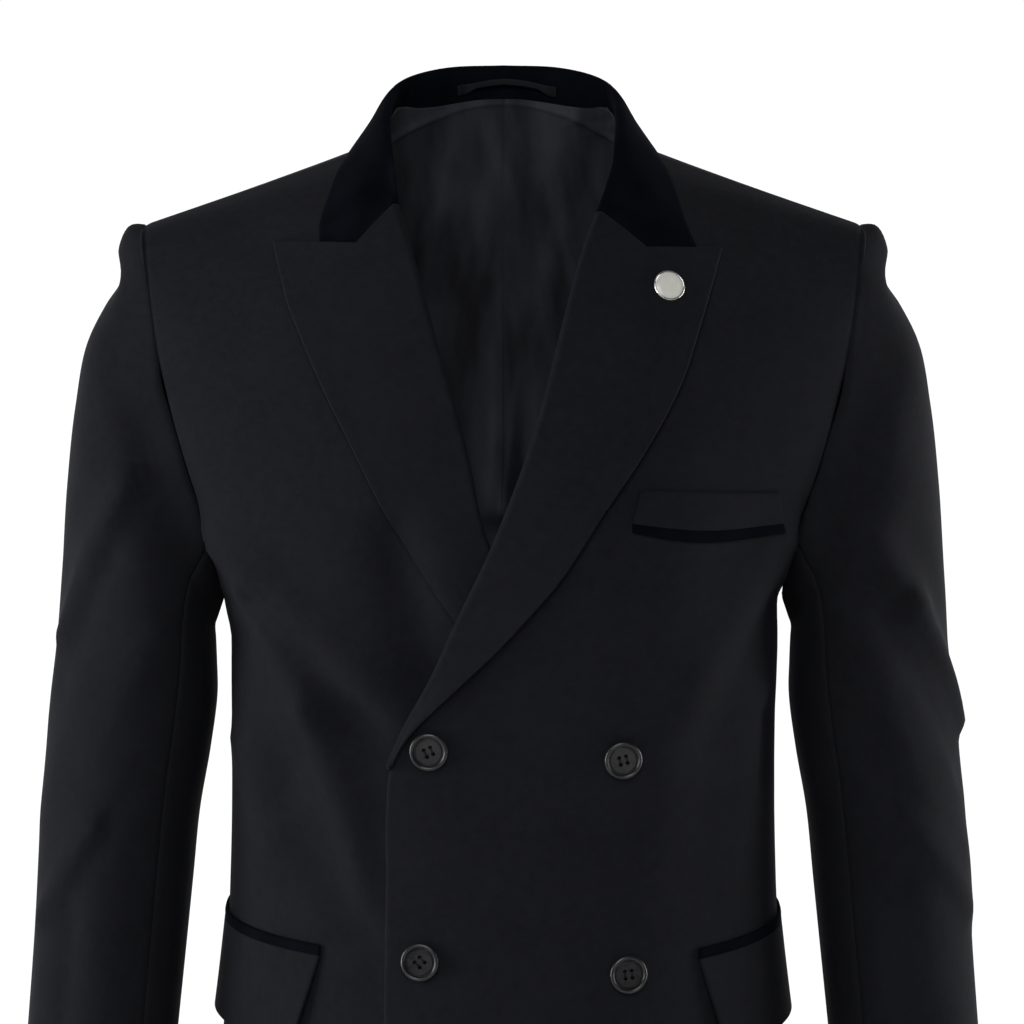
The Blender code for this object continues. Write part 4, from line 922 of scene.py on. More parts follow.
def lining_point(side, centre, depth, u, v):
    """Points of the lining: down inside the back, and up over the foot of the collar stand."""
    low = np.maximum(v, LINING_TOP)
    turn = np.where(u > 0.0, back_turn(u, low), centre)
    lapped = LINING_LAP * (side < 0) * (1.0 - step(0.0, 0.02, u))
    back = back_at(low, turn, lapped - depth)
    start = back_at(np.full_like(low, LINING_TOP), turn, lapped - depth)
    climb = np.clip((LINING_TOP - v) / LINING_CLIMB, 0.0, 1.0)
    along = np.minimum(1.25 * u, 0.5)
    edge = smooth(LINING_EDGE, "across", along)

    def climbed(share):
        stand = collar_point(along, LINING_STAND_FOOT + (edge - LINING_STAND_FOOT) * share)
        inward = unit(stand * (-1.0, -1.0, 0.0))
        shoulder = back_at(LINING_TOP + (LINING_SHOULDER - LINING_TOP) * share, turn, -depth)
        on_stand = stand + inward * (LINING_OFF_STAND - lapped)[:, None]
        return lerp(on_stand, shoulder, step(0.37, 0.42, u))

    drop = low - LINING_TOP
    foot = climbed(np.zeros_like(climb))
    forward = (foot - start) * (1.0 - step(0.0, 0.055, drop))[:, None]
    point = choose(v < LINING_TOP, climbed(climb), back + forward)
    hung = (1.0 - step(0.015, 0.22, drop)) * (1.0 - step(0.33, 0.46, u)) * (v >= LINING_TOP)
    point[:, 1] += (foot[:, 1] + LINING_SLOPE * drop - point[:, 1]) * hung
    into = unit(point * (-1.0, -1.0, 0.0))
    return point + into * fold_height(LINING_FOLDS, side * point[:, 0], point[:, 2])[:, None]


def loop_point(u, v):
    """Strap tacked flat to the stand at both ends, arched and rolled narrower between them."""
    along = LOOP_START + (LOOP_END - LOOP_START) * u
    free = step(0.06, 0.20, u) * (1.0 - step(0.80, 0.94, u))
    across = np.full_like(u, LOOP_ACROSS)
    base = collar_point(along, across)
    run = collar_point(along + 0.01, across) - base
    away = unit(np.cross(run, collar_point(along, across + 0.02) - base))
    away = away * np.where(away[:, 1:2] > 0.0, -1.0, 1.0)
    bow = LOOP_BOW * np.sin(np.pi * u) * free
    width = LOOP_WIDTH * (1.0 - 0.45 * free)
    lift = (0.5 - v) * width + 1.1 * bow
    return base + away * (LOOP_OFF + bow)[:, None] + xyz(0.0, 0.0, lift)


def flap_point(front, flap, u, drop, lift):
    """Points of the hip pocket: u runs from its front end to its rear end, drop down from its mouth."""
    start = flap.front_turn + FLAP_LEAN * np.maximum(drop, 0.0) / FLAP_DEPTH
    turn = start + (flap.rear_turn - start) * u
    z = flap.front_z + (flap.rear_z - flap.front_z) * u - drop
    return front.at(down_at(lambda down: body(down, turn)[:, 2], z), turn, lift)


def welt_line(row, u):
    x = row.inner_x + (row.outer_x - row.inner_x) * u
    return x, row.inner_z + (row.outer_z - row.inner_z) * u - row.sag * np.sin(np.pi * u)


def surface_normal(front, x, z, reach=0.008):
    """Normal of the front over about a button's width."""
    near_x = np.array([x + reach, x - reach, x, x])
    near_z = np.array([z, z, z + reach, z - reach])
    spots = front.spot(near_x, near_z)
    return unit(np.cross(spots[0] - spots[1], spots[2] - spots[3]))


class Tone:
    """A socket of a node tree: arithmetic on it adds Math nodes."""

    def __init__(self, shading, socket):
        self.shading = shading
        self.socket = socket

    def math(self, operation, first, second):
        return self.shading.node("ShaderNodeMath", {"operation": operation}, {0: first, 1: second})

    def __add__(self, other):
        return self.math("ADD", self, other)

    def __sub__(self, other):
        return self.math("SUBTRACT", self, other)

    def __rsub__(self, other):
        return self.math("SUBTRACT", other, self)

    def __mul__(self, other):
        return self.math("MULTIPLY", self, other)

    __radd__ = __add__
    __rmul__ = __mul__


def socket_name(key):
    """Name of the shader's socket for a keyword such as base_color."""
    return key.replace("_", " ").title().replace("Ior", "IOR")


class Shading:
    """The node tree of a material or of the room."""

    def __init__(self, owner):
        owner.use_nodes = True
        self.tree = owner.node_tree

    def node(self, kind, settings, inputs, output=0):
        """Adds a node: its settings are set first, then each input is given a value or a link."""
        made = self.tree.nodes.new(kind)
        for name, value in settings.items():
            setattr(made, name, value)
        for name, value in inputs.items():
            if isinstance(value, Tone):
                self.tree.links.new(value.socket, made.inputs[name])
            else:
                made.inputs[name].default_value = value
        return Tone(self, made.outputs[output])


class Finish(Shading):
    """A Principled material under making."""

    def __init__(self, name, **constants):
        self.material = bpy.data.materials.new(name)
        super().__init__(self.material)
        self.shader = self.tree.nodes["Principled BSDF"]
        for socket, value in constants.items():
            self.shader.inputs[socket_name(socket)].default_value = value

    def place(self):
        """Places on the coat, in metres."""
        return self.node("ShaderNodeTexCoord", {}, {}, "Object")

    def cut(self):
        """Places on the piece laid flat, in metres."""
        return self.node("ShaderNodeUVMap", {"uv_map": "cut"}, {})

    def drawn(self, place, factors):
        """Places scaled on each axis, so that a pattern is drawn out where its factor is small."""
        return self.node("ShaderNodeVectorMath", {"operation": "MULTIPLY"}, {0: place, 1: factors})

    def mix(self, share, first, second):
        settings = {"data_type": "RGBA", "clamp_factor": True}
        return self.node("ShaderNodeMix", settings, {0: share, 6: first, 7: second}, 2)

    def clouded(self, value, low, high, dark, pale):
        """Colour that runs from dark to pale as the value runs from low to high."""
        return self.mix(self.ranged(value, low, high, 0.0, 1.0), dark, pale)

    def noise(self, place, scale, detail=2.0, roughness=0.5):
        inputs = {"Vector": place, "Scale": scale, "Detail": detail, "Roughness": roughness}
        return self.node("ShaderNodeTexNoise", {}, inputs)

    def ranged(self, value, low, high, to_low, to_high):
        inputs = {0: value, 1: low, 2: high, 3: to_low, 4: to_high}
        return self.node("ShaderNodeMapRange", {"clamp": True}, inputs)

    def relief(self, height, strength, distance):
        inputs = {"Height": height, "Strength": strength, "Distance": distance}
        return self.node("ShaderNodeBump", {}, inputs)

    def feed(self, **sockets):
        for name, tone in sockets.items():
            self.tree.links.new(tone.socket, self.shader.inputs[socket_name(name)])
        return self.material


def rgba(colour, factor=1.0):
    return tuple(channel * factor for channel in colour[:3]) + (1.0,)


def wool_finish(looks):
    """Milled wool coating: a faint twill under a felted nap, with paler and darker fibres."""
    wool = Finish(
        "charcoal_wool", specular_ior_level=0.06,
        sheen_weight=looks.wool_sheen, sheen_roughness=0.30, sheen_tint=(0.62, 0.66, 0.78, 1.0),
    )
    place = wool.place()
    cut = wool.cut()
    cloud = wool.noise(place, 24.0, 3.0, 0.55)
    nap = wool.noise(place, 620.0, 4.0, 0.7)
    stretched = wool.drawn(cut, (1.0, 0.32, 1.0))
    fibre = wool.noise(stretched, 1500.0, 2.0, 0.6)
    twill = wool.node(
        "ShaderNodeTexWave",
        {"wave_type": "BANDS", "bands_direction": "DIAGONAL", "wave_profile": "SIN"},
        {"Vector": cut, "Scale": 210.0, "Distortion": 1.6, "Detail": 2.0, "Detail Scale": 2.0},
    )
    tuft = wool.noise(place, 190.0, 3.0, 0.65)
    shade = cloud * 0.20 + tuft * 0.35 + nap * 0.30 + fibre * 0.15
    colour = wool.clouded(shade, 0.36, 0.64, rgba(looks.wool, 0.72), rgba(looks.wool, 1.32))
    fleck = wool.ranged(fibre * nap, 0.42, 0.52, 0.0, 0.5)
    colour = wool.mix(fleck, colour, rgba(looks.wool_fleck))
    roughness = wool.ranged(nap, 0.2, 0.8, 0.80, 0.96)
    height = tuft * 0.45 + nap * 0.30 + fibre * 0.15 + twill * 0.10
    return wool.feed(base_color=colour, roughness=roughness, normal=wool.relief(height, 0.55, 0.0006))


def velvet_finish(looks):
    """Cotton velvet: deep black with a pile that catches light at its edges and where it is brushed."""
    velvet = Finish(
        "black_velvet", specular_ior_level=0.02,
        sheen_weight=looks.velvet_sheen, sheen_roughness=0.28, sheen_tint=(0.55, 0.62, 0.85, 1.0),
    )
    place = velvet.place()
    brushed = velvet.noise(place, 42.0, 3.0, 0.55)
    pile = velvet.noise(place, 1400.0, 2.0, 0.6)
    shade = brushed * 0.7 + pile * 0.3
    colour = velvet.clouded(shade, 0.32, 0.68, rgba(looks.velvet, 0.6), rgba(looks.velvet, 1.6))
    roughness = velvet.ranged(brushed, 0.3, 0.7, 0.88, 1.0)
    height = pile * 0.7 + brushed * 0.3
    return velvet.feed(base_color=colour, roughness=roughness, normal=velvet.relief(height, 0.4, 0.0005))


def satin_finish(looks):
    """Satin lining: smooth floats along the cut with a soft gloss, and sheen streaks painted into its
    colour.
    """
    satin = Finish("black_satin", specular_ior_level=0.05, sheen_weight=0.01)
    place = satin.place()
    cut = satin.cut()
    floats = satin.drawn(cut, (1.0, 0.08, 1.0))
    weave = satin.noise(floats, 2600.0, 2.0, 0.5)
    wave = satin.noise(place, 26.0, 2.0, 0.5)
    # Noise drawn out down the lining paints pale and dark sheen streaks into the satin's colour, standing
    # in for light on its folds.
    drawn = satin.drawn(place, (1.0, 1.0, 0.28))
    painted_sheen_streak = satin.noise(drawn, 46.0, 2.0, 0.45)
    # The weave's own tone is mixed in with the painted sheen streaks.
    shade = painted_sheen_streak * 0.8 + weave * 0.2
    colour = satin.clouded(shade, 0.36, 0.64, rgba(looks.satin, 0.55), rgba(looks.satin, 1.55))
    roughness = satin.ranged(wave * 0.6 + weave * 0.4, 0.3, 0.7, 0.50, 0.64)
    return satin.feed(base_color=colour, roughness=roughness, normal=satin.relief(weave, 0.25, 0.0002))


def braid_finish(looks):
    """Braid of the hanger loop: closely ribbed along its length."""
    braid = Finish("black_braid", specular_ior_level=0.06)
    cut = braid.cut()
    ribs = braid.drawn(cut, (0.2, 1.0, 1.0))
    yarn = braid.noise(ribs, 2400.0, 2.0, 0.5)
    colour = braid.clouded(yarn, 0.3, 0.7, rgba(looks.braid, 0.6), rgba(looks.braid, 1.4))
    roughness = braid.ranged(yarn, 0.3, 0.7, 0.45, 0.60)
    return braid.feed(base_color=colour, roughness=roughness, normal=braid.relief(yarn, 0.3, 0.0003))


def resin_finish(looks):
    """Cast resin like polished horn: clouded dark grey with a few paler streaks."""
    resin = Finish("dark_resin", specular_ior_level=0.42, coat_weight=0.10, coat_roughness=0.12)
    place = resin.place()
    drawn = resin.drawn(place, (1.0, 1.0, 2.4))
    cloud = resin.noise(drawn, 130.0, 4.0, 0.6)
    fine = resin.noise(place, 900.0, 2.0, 0.5)
    colour = resin.clouded(cloud, 0.35, 0.65, rgba(looks.resin, 0.7), rgba(looks.resin, 1.5))
    roughness = resin.ranged(cloud * 0.6 + fine * 0.4, 0.3, 0.7, 0.24, 0.40)
    return resin.feed(base_color=colour, roughness=roughness, normal=resin.relief(fine, 0.08, 0.0002))


def thread_finish(looks):
    """Twisted sewing thread."""
    thread = Finish("sewing_thread", specular_ior_level=0.15)
    place = thread.place()
    ply = thread.noise(place, 2200.0, 2.0, 0.5)
    colour = thread.clouded(ply, 0.3, 0.7, rgba(looks.thread, 0.6), rgba(looks.thread, 1.5))
    roughness = thread.ranged(ply, 0.2, 0.8, 0.55, 0.75)
    return thread.feed(base_color=colour, roughness=roughness, normal=thread.relief(ply, 0.4, 0.0002))


def metal_finish(looks):
    """Polished rim of the pin, faintly brushed."""
    metal = Finish("silver", metallic=1.0)
    place = metal.place()
    worn = metal.noise(place, 700.0, 3.0, 0.6)
    colour = metal.clouded(worn, 0.3, 0.7, rgba(looks.metal, 0.82), rgba(looks.metal))
    roughness = metal.ranged(worn, 0.2, 0.8, 0.16, 0.32)
    return metal.feed(base_color=colour, roughness=roughness, normal=metal.relief(worn, 0.05, 0.0002))


def enamel_finish(looks):
    """Plain enamel face of the pin."""
    enamel = Finish("ivory_enamel", specular_ior_level=0.5)
    place = enamel.place()
    cloud = enamel.noise(place, 260.0, 3.0, 0.5)
    colour = enamel.clouded(cloud, 0.3, 0.7, rgba(looks.enamel, 0.93), rgba(looks.enamel))
    roughness = enamel.ranged(cloud, 0.2, 0.8, 0.18, 0.28)
    return enamel.feed(base_color=colour, roughness=roughness, normal=enamel.relief(cloud, 0.04, 0.0003))


FINISHES = {
    "charcoal_wool": wool_finish,
    "black_velvet": velvet_finish,
    "black_satin": satin_finish,
    "black_braid": braid_finish,
    "dark_resin": resin_finish,
    "sewing_thread": thread_finish,
    "silver": metal_finish,
    "ivory_enamel": enamel_finish,
}


def finish(name):
    """The named material, made the first time it is asked for."""
    made = bpy.data.materials.get("coat_" + name)
    if made is None:
        made = FINISHES[name](bpy.context.scene.overcoat_looks)
        made.name = "coat_" + name
    return made


def grid_normals(points):
    return unit(np.cross(np.gradient(points, axis=1), np.gradient(points, axis=0)))


def ring_of(rows, columns):
    """Row and column indices round a grid's border, in the turning order of its faces."""
    across, down = np.arange(columns), np.arange(rows)
    row = np.concatenate((0 * across[:-1], down[:-1], 0 * across[1:] + rows - 1, down[:0:-1]))
    column = np.concatenate((across[:-1], 0 * down[:-1] + columns - 1, across[:0:-1], 0 * down[1:]))
    return row, column


def arc_lengths(points, axis):
    steps = np.linalg.norm(np.diff(points, axis=axis), axis=-1)
    pad = [(0, 0), (0, 0)]
    pad[axis] = (1, 0)
    return np.cumsum(np.pad(steps, pad), axis=axis)


def cloth_mesh(name, points, thickness, faces, seams, dip):
    """Closed wall of cloth from a grid of outside points, its rim rounded and its seams drawn in."""
    rows, columns = points.shape[:2]
    away = grid_normals(points)
    turned = np.sum(away[rows // 2, columns // 2] * faces) < 0.0
    if turned:
        away = -away
    across, along = arc_lengths(points, 1), arc_lengths(points, 0)
    borders = {
        "start": across,
        "end": across[:, -1:] - across,
        "top": along,
        "foot": along[-1:] - along,
    }
    for seam in seams:
        drawn = dip * np.exp(-((borders[seam] / SEAM_REACH) ** 2))
        points = points - away * drawn[..., None]
    behind = points - away * thickness
    row, column = ring_of(rows, columns)
    inside_row, inside_column = np.clip(row, 1, rows - 2), np.clip(column, 1, columns - 2)
    outward = unit(points[row, column] - points[inside_row, inside_column])
    free = np.ones(len(row))
    for seam, at_seam in (("start", column == 0), ("end", column == columns - 1)):
        if seam in seams:
            free[at_seam] = SEAM_BULGE
    bulge = outward * (RIM_BULGE * thickness * free)[:, None]
    rim = 0.5 * (points[row, column] + behind[row, column]) + bulge
    count = rows * columns
    index = np.arange(count).reshape(rows, columns)
    corners = (index[:-1, :-1], index[:-1, 1:], index[1:, 1:], index[1:, :-1])
    quads = np.stack(corners, axis=-1).reshape(-1, 4)
    edge = index[row, column]
    after = np.roll(edge, -1)
    lip = 2 * count + np.arange(len(edge))
    lip_after = np.roll(lip, -1)
    walls = np.concatenate((
        quads,
        quads[:, ::-1] + count,
        np.stack((after, edge, lip, lip_after), axis=-1),
        np.stack((lip_after, lip, edge + count, after + count), axis=-1),
    ))
    if not turned:
        walls = walls[:, ::-1]
    verts = np.concatenate((points.reshape(-1, 3), behind.reshape(-1, 3), rim))
    cut = np.stack((across, along), axis=-1).reshape(-1, 2)
    cut = np.concatenate((cut, cut, cut[edge]))
    mesh = bpy.data.meshes.new(name)
    mesh.from_pydata(verts.tolist(), [], walls.tolist())
    layer = mesh.uv_layers.new(name="cut")
    layer.data.foreach_set("uv", cut[walls.ravel()].astype(np.float32).ravel())
    mesh.shade_smooth()
    return mesh


def linked(name, data):
    """A new object of the scene that shows the data."""
    made = bpy.data.objects.new(name, data)
    bpy.context.scene.collection.objects.link(made)
    return made


def worn(name, mesh, slot, *materials):
    """Puts a finished mesh on the coat in the place of its solid."""
    for material in materials or (finish(slot),):
        mesh.materials.append(material)
    piece = linked(name + "_worn", mesh)
    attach(piece, "root")
    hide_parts(name)
    return piece


def sewn(
    name, us, vs, outside, thickness, slot, side=1,
    faces=(0.0, -1.0, 0.0), seams=(), cloth=None,
):
    """A cloth piece from its surface function; its row of the cuts is looked up but not used."""
    u, v = np.meshgrid(us, vs)
    points = outside(u.ravel(), v.ravel()).reshape(u.shape + (3,))
    if side < 0:
        points[..., 0] *= -1.0
    dip = bpy.context.scene.overcoat_cloth.seam_dip
    mesh = cloth_mesh(name, points, thickness, np.array(faces), seams, dip)
    piece = worn(name, mesh, slot, finish(cloth or slot))
    cut = next(row for row in CUTS if row.piece == name)
    return piece


def turned_mesh(name, profile, steps):
    """Mesh turned round Z from a profile."""
    line = bpy.data.meshes.new(name + "_profile")
    points = [(row.radius, 0.0, row.height) for row in profile]
    line.from_pydata(points, [(i, i + 1) for i in range(len(points) - 1)], [])
    helper = linked(name + "_profile", line)
    screw = helper.modifiers.new("turn", "SCREW")
    screw.steps = screw.render_steps = steps
    screw.use_merge_vertices = True
    screw.merge_threshold = 0.00001
    mesh = baked(helper)
    bpy.data.objects.remove(helper)
    return mesh


def baked(helper):
    """The helper's evaluated mesh, facing outwards."""
    bpy.context.view_layer.update()
    evaluated = helper.evaluated_get(bpy.context.evaluated_depsgraph_get())
    mesh = bpy.data.meshes.new_from_object(evaluated)
    shape = bmesh.new()
    shape.from_mesh(mesh)
    bmesh.ops.recalc_face_normals(shape, faces=shape.faces[:])
    shape.to_mesh(mesh)
    shape.free()
    return mesh


def seat_matrix(point, away, turn):
    """Matrix that stands a piece's Z along the surface's normal at the point."""
    up = Vector(away).normalized()
    across = Vector((1.0, 0.0, 0.0))
    across = (across - up * across.dot(up)).normalized()
    axes = Matrix((across, up.cross(across), up)).transposed().to_4x4()
    return Matrix.Translation(Vector(point)) @ axes @ Matrix.Rotation(math.radians(turn), 4, "Z")


def button_mesh():
    """A turned button with its four holes drilled."""
    blank = linked("button_blank", turned_mesh("button", BUTTON_PROFILE, 64))
    holes = bmesh.new()
    for column in (-0.5, 0.5):
        for row in (-0.5, 0.5):
            place = Matrix.Translation((column * BUTTON_PITCH, row * BUTTON_PITCH, 0.002))
            bmesh.ops.create_cone(
                holes, cap_ends=True, segments=20, radius1=BUTTON_HOLE, radius2=BUTTON_HOLE,
                depth=0.01, matrix=place,
            )
    drill = bpy.data.meshes.new("button_holes")
    holes.to_mesh(drill)
    holes.free()
    cutter = linked("button_holes", drill)
    cut = blank.modifiers.new("holes", "BOOLEAN")
    cut.operation = "DIFFERENCE"
    cut.solver = "EXACT"
    cut.object = cutter
    mesh = baked(blank)
    for helper in (blank, cutter):
        bpy.data.objects.remove(helper)
    mesh.materials.clear()
    return mesh


def thread_tree():
    """Node tree that lays a round thread along the edges of a mesh."""
    tree = bpy.data.node_groups.new("sewing_threads", "GeometryNodeTree")
    tree.is_modifier = True
    face = tree.interface
    face.new_socket("Geometry", in_out="INPUT", socket_type="NodeSocketGeometry")
    for label, kind in (("Thread Radius", "NodeSocketFloat"), ("Thread", "NodeSocketMaterial")):
        face.new_socket(label, in_out="INPUT", socket_type=kind)
    face.new_socket("Geometry", in_out="OUTPUT", socket_type="NodeSocketGeometry")
    start, path, ring, tube, realised, dyed, end = (
        tree.nodes.new(kind)
        for kind in (
            "NodeGroupInput",
            "GeometryNodeMeshToCurve",
            "GeometryNodeCurvePrimitiveCircle",
            "GeometryNodeCurveToMesh",
            "GeometryNodeRealizeInstances",
            "GeometryNodeSetMaterial",
            "NodeGroupOutput",
        )
    )
    ring.inputs["Resolution"].default_value = 8
    tube.inputs["Fill Caps"].default_value = True
    for source, socket, target, name in (
        (start, "Geometry", path, "Mesh"),
        (start, "Thread Radius", ring, "Radius"),
        (path, "Curve", tube, "Curve"),
        (ring, "Curve", tube, "Profile Curve"),
        (tube, "Mesh", realised, "Geometry"),
        (realised, "Geometry", dyed, "Geometry"),
        (start, "Thread", dyed, "Material"),
        (dyed, "Geometry", end, "Geometry"),
    ):
        tree.links.new(source.outputs[socket], target.inputs[name])
    return tree


def threads(name, paths, radius):
    """Threads along lists of points, made a plain mesh."""
    tree = bpy.data.node_groups.get("sewing_threads") or thread_tree()
    inputs = {item.name: item.identifier for item in tree.interface.items_tree if item.in_out == "INPUT"}
    points, edges = [], []
    for path in paths:
        edges += [(len(points) + i, len(points) + i + 1) for i in range(len(path) - 1)]
        points += [tuple(point) for point in path]
    mesh = bpy.data.meshes.new(name + "_path")
    mesh.from_pydata(points, edges, [])
    helper = linked(name + "_path", mesh)
    nodes = helper.modifiers.new("threads", "NODES")
    nodes.node_group = tree
    nodes[inputs["Thread Radius"]] = radius
    nodes[inputs["Thread"]] = finish("sewing_thread")
    made = baked(helper)
    helper.modifiers.remove(nodes)
    bpy.data.objects.remove(helper)
    made.shade_smooth()
    piece = linked(name, made)
    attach(piece, "root")
    return piece


def size_setting(name, description, default, **limits):
    return bpy.props.FloatProperty(name=name, description=description, default=default, **limits)


def colour_setting(name, description, *default):
    return bpy.props.FloatVectorProperty(
        name=name, description=description, default=default, subtype="COLOR"
    )


class CoatCloth(bpy.types.PropertyGroup):
    """Thicknesses of the cloths and how far seams draw in."""

    wool: size_setting("Wool", "Thickness of the wool", 0.0020, unit="LENGTH")
    facing: size_setting("Facing", "Thickness of the lapel facings", 0.0015, unit="LENGTH")
    velvet: size_setting("Velvet", "Thickness of the velvet", 0.0015, unit="LENGTH")
    satin: size_setting("Satin", "Thickness of the lining", 0.0010, unit="LENGTH")
    seam_dip: size_setting("Seam dip", "How far a seam draws the cloth in", 0.0007, unit="LENGTH")
    thread_radius: size_setting("Thread radius", "Radius of the button thread", 0.00026, unit="LENGTH")


class CoatLooks(bpy.types.PropertyGroup):
    """Colours and sheen of the coat's finishes."""

    wool: colour_setting("Wool", "Colour of the wool", 0.0064, 0.0067, 0.0086)
    wool_fleck: colour_setting("Wool fleck", "Colour of the palest fibres", 0.015, 0.016, 0.020)
    wool_sheen: size_setting("Wool sheen", "Light caught by the nap", 0.02, subtype="FACTOR")
    velvet: colour_setting("Velvet", "Colour of the velvet", 0.0017, 0.0021, 0.0034)
    velvet_sheen: size_setting("Velvet sheen", "Light caught by the pile", 0.008, subtype="FACTOR")
    satin: colour_setting("Satin", "Colour of the lining", 0.0200, 0.0209, 0.0254)
    braid: colour_setting("Hanger loop", "Colour of the hanger loop", 0.0045, 0.0048, 0.0062)
    resin: colour_setting("Buttons", "Colour of the buttons", 0.0058, 0.0060, 0.0072)
    thread: colour_setting("Thread", "Colour of the thread", 0.003, 0.003, 0.0035)
    metal: colour_setting("Pin rim", "Colour of the pin's rim", 0.55, 0.55, 0.53)
    enamel: colour_setting("Pin face", "Colour of the pin's face", 0.56, 0.56, 0.51)


class CoatStage(bpy.types.PropertyGroup):
    """Light and ground round the coat."""

    key: size_setting("Key", "Power of the softbox in front", 63.0, unit="POWER")
    sides: size_setting("Sides", "Power of the softbox at the brighter side", 58.0, unit="POWER")
    room: size_setting("Room", "Light of the room in front of the coat", 0.15, subtype="FACTOR")
    backdrop: size_setting("Backdrop", "Light of the backdrop behind the coat", 1.05, soft_max=2.0)
    floor: colour_setting("Floor", "Colour of the floor", 0.86, 0.86, 0.86)


class OVERCOAT_OT_fronts(bpy.types.Operator):
    """Sews the two fronts"""

    bl_idname = "overcoat.fronts"
    bl_label = "Fronts"

    def execute(self, context):
        us = spaced((0.0, 0.02, 4), (0.02, 0.98, 58), (0.98, 1.0, 4))
        vs = spaced((0.0, 0.010, 4), (0.010, UNDERARM, 56), (UNDERARM, 0.892, 84), (0.892, HEM, 3))
        for name, front, side in (("front_left", LEFT_FRONT, 1), ("front_right", RIGHT_FRONT, -1)):
            sewn(
                name, us, vs, lambda u, v, front=front: front_point(front, u, v),
                context.scene.overcoat_cloth.wool, "charcoal_wool", side, seams=("end", "top"),
            )
        return {"FINISHED"}


class OVERCOAT_OT_backs(bpy.types.Operator):
    """Sews the two halves of the back"""

    bl_idname = "overcoat.backs"
    bl_label = "Backs"

    def execute(self, context):
        us = spaced((0.0, 0.012, 3), (0.012, NECK_SHARE, 28), (NECK_SHARE, 0.985, 34), (0.985, 1.0, 3))
        vs = spaced((0.0, 0.010, 4), (0.010, UNDERARM, 52), (UNDERARM, 0.892, 70), (0.892, HEM, 3))
        for name, folds, side in (
            ("back_left", CREASES_BACK_LEFT, 1),
            ("back_right", CREASES_BACK_RIGHT, -1),
        ):
            sewn(
                name, us, vs,
                lambda u, v, folds=folds: back_point(folds, u, v),
                context.scene.overcoat_cloth.wool, "charcoal_wool", side, faces=(0.0, 1.0, 0.0),
                seams=("start", "end", "top"),
            )
        return {"FINISHED"}


class OVERCOAT_OT_lining(bpy.types.Operator):
    """Sews the satin lining of the back"""

    bl_idname = "overcoat.lining"
    bl_label = "Back lining"

    def execute(self, context):
        satin = context.scene.overcoat_cloth.satin
        depth = context.scene.overcoat_cloth.wool + LINING_GAP + satin
        us = spaced((0.0, NECK_SHARE, 56), (NECK_SHARE, 0.90, 36))
        vs = spaced((LINING_TOP - LINING_CLIMB, LINING_TOP, 20), (LINING_TOP, LINING_FOOT, 110))
        for name, side, centre in (
            ("back_lining_left", 1, 180.25),
            ("back_lining_right", -1, 180.30),
        ):
            sewn(
                name, us, vs,
                lambda u, v, side=side, centre=centre: lining_point(side, centre, depth, u, v),
                satin, "black_satin", side,
            )
        return {"FINISHED"}


class OVERCOAT_OT_sleeves(bpy.types.Operator):
    """Sews the two-piece sleeves"""

    bl_idname = "overcoat.sleeves"
    bl_label = "Sleeves"

    def execute(self, context):
        def between(start, end, count):
            """Columns from seam to seam, closer beside the seams."""
            first, last = start + 6.2, end - 6.2
            return spaced((start + 0.2, first, 4), (first, last, count), (last, end - 0.2, 4))

        head = ((SLEEVE_START, 0.010, 4), (0.010, 0.064, 18))
        vs = spaced(*head, (0.064, 0.645, 130), (0.645, SLEEVE_END, 3))
        top = between(HINDARM_SEAM, FOREARM_SEAM, 66)
        under = between(FOREARM_SEAM, HINDARM_SEAM + 360.0, 34)
        for hand, folds, side in (
            ("left", SLEEVE_FOLDS_LEFT, 1),
            ("right", SLEEVE_FOLDS_RIGHT, -1),
        ):
            for name, us, faces in (
                ("top_sleeve_", top, (side, 0, 0)),
                ("under_sleeve_", under, (-side, 0, 0)),
            ):
                sewn(
                    name + hand, us, vs, lambda u, v, folds=folds: sleeve_point(folds, u, v),
                    context.scene.overcoat_cloth.wool, "charcoal_wool", side, faces=faces,
                    seams=("start", "end", "top"),
                )
        return {"FINISHED"}


class OVERCOAT_OT_lapels(bpy.types.Operator):
    """Rolls the lapels over the front edges"""

    bl_idname = "overcoat.lapels"
    bl_label = "Lapels"

    def execute(self, context):
        notched = 1.0 + NOTCH_SHARE
        us = spaced((-1.0, 0.0, 2), (0.0, 1.0, 12), (1.0, notched, 18), (notched, 1.97, 20), (1.97, 2.0, 2))
        vs = spaced((0.0, 0.012, 3), (0.012, 1.0, 110))
        for name, shape, side in (
            ("lapel_left", (LEFT_FRONT, LAPEL_LEFT, NOTCH_LEFT), 1),
            ("lapel_right", (RIGHT_FRONT, LAPEL_RIGHT, NOTCH_RIGHT), -1),
        ):
            sewn(
                name, us, vs, lambda u, v, shape=shape: lapel_point(*shape, u, v),
                context.scene.overcoat_cloth.facing, "charcoal_wool", side,
            )
        return {"FINISHED"}


class OVERCOAT_OT_collar(bpy.types.Operator):
    """Folds the velvet collar round the neck"""

    bl_idname = "overcoat.collar"
    bl_label = "Collar"

    def execute(self, context):
        velvet = context.scene.overcoat_cloth.velvet
        half = spaced((0.0, 0.5, 44), (0.5, 1.0, 48))
        us = np.concatenate((-half[:0:-1], half))
        stand = ((0.0, 0.22, 12), (0.22, 0.44, 14))
        vs = spaced(*stand, (0.44, 0.60, 18), (0.60, 0.97, 24), (0.97, 1.0, 2))
        sewn(
            "collar", us, vs, lambda u, v: collar_point(u, v, velvet), velvet, "black_velvet",
            faces=(0.0, 0.0, 1.0),
        )
        return {"FINISHED"}


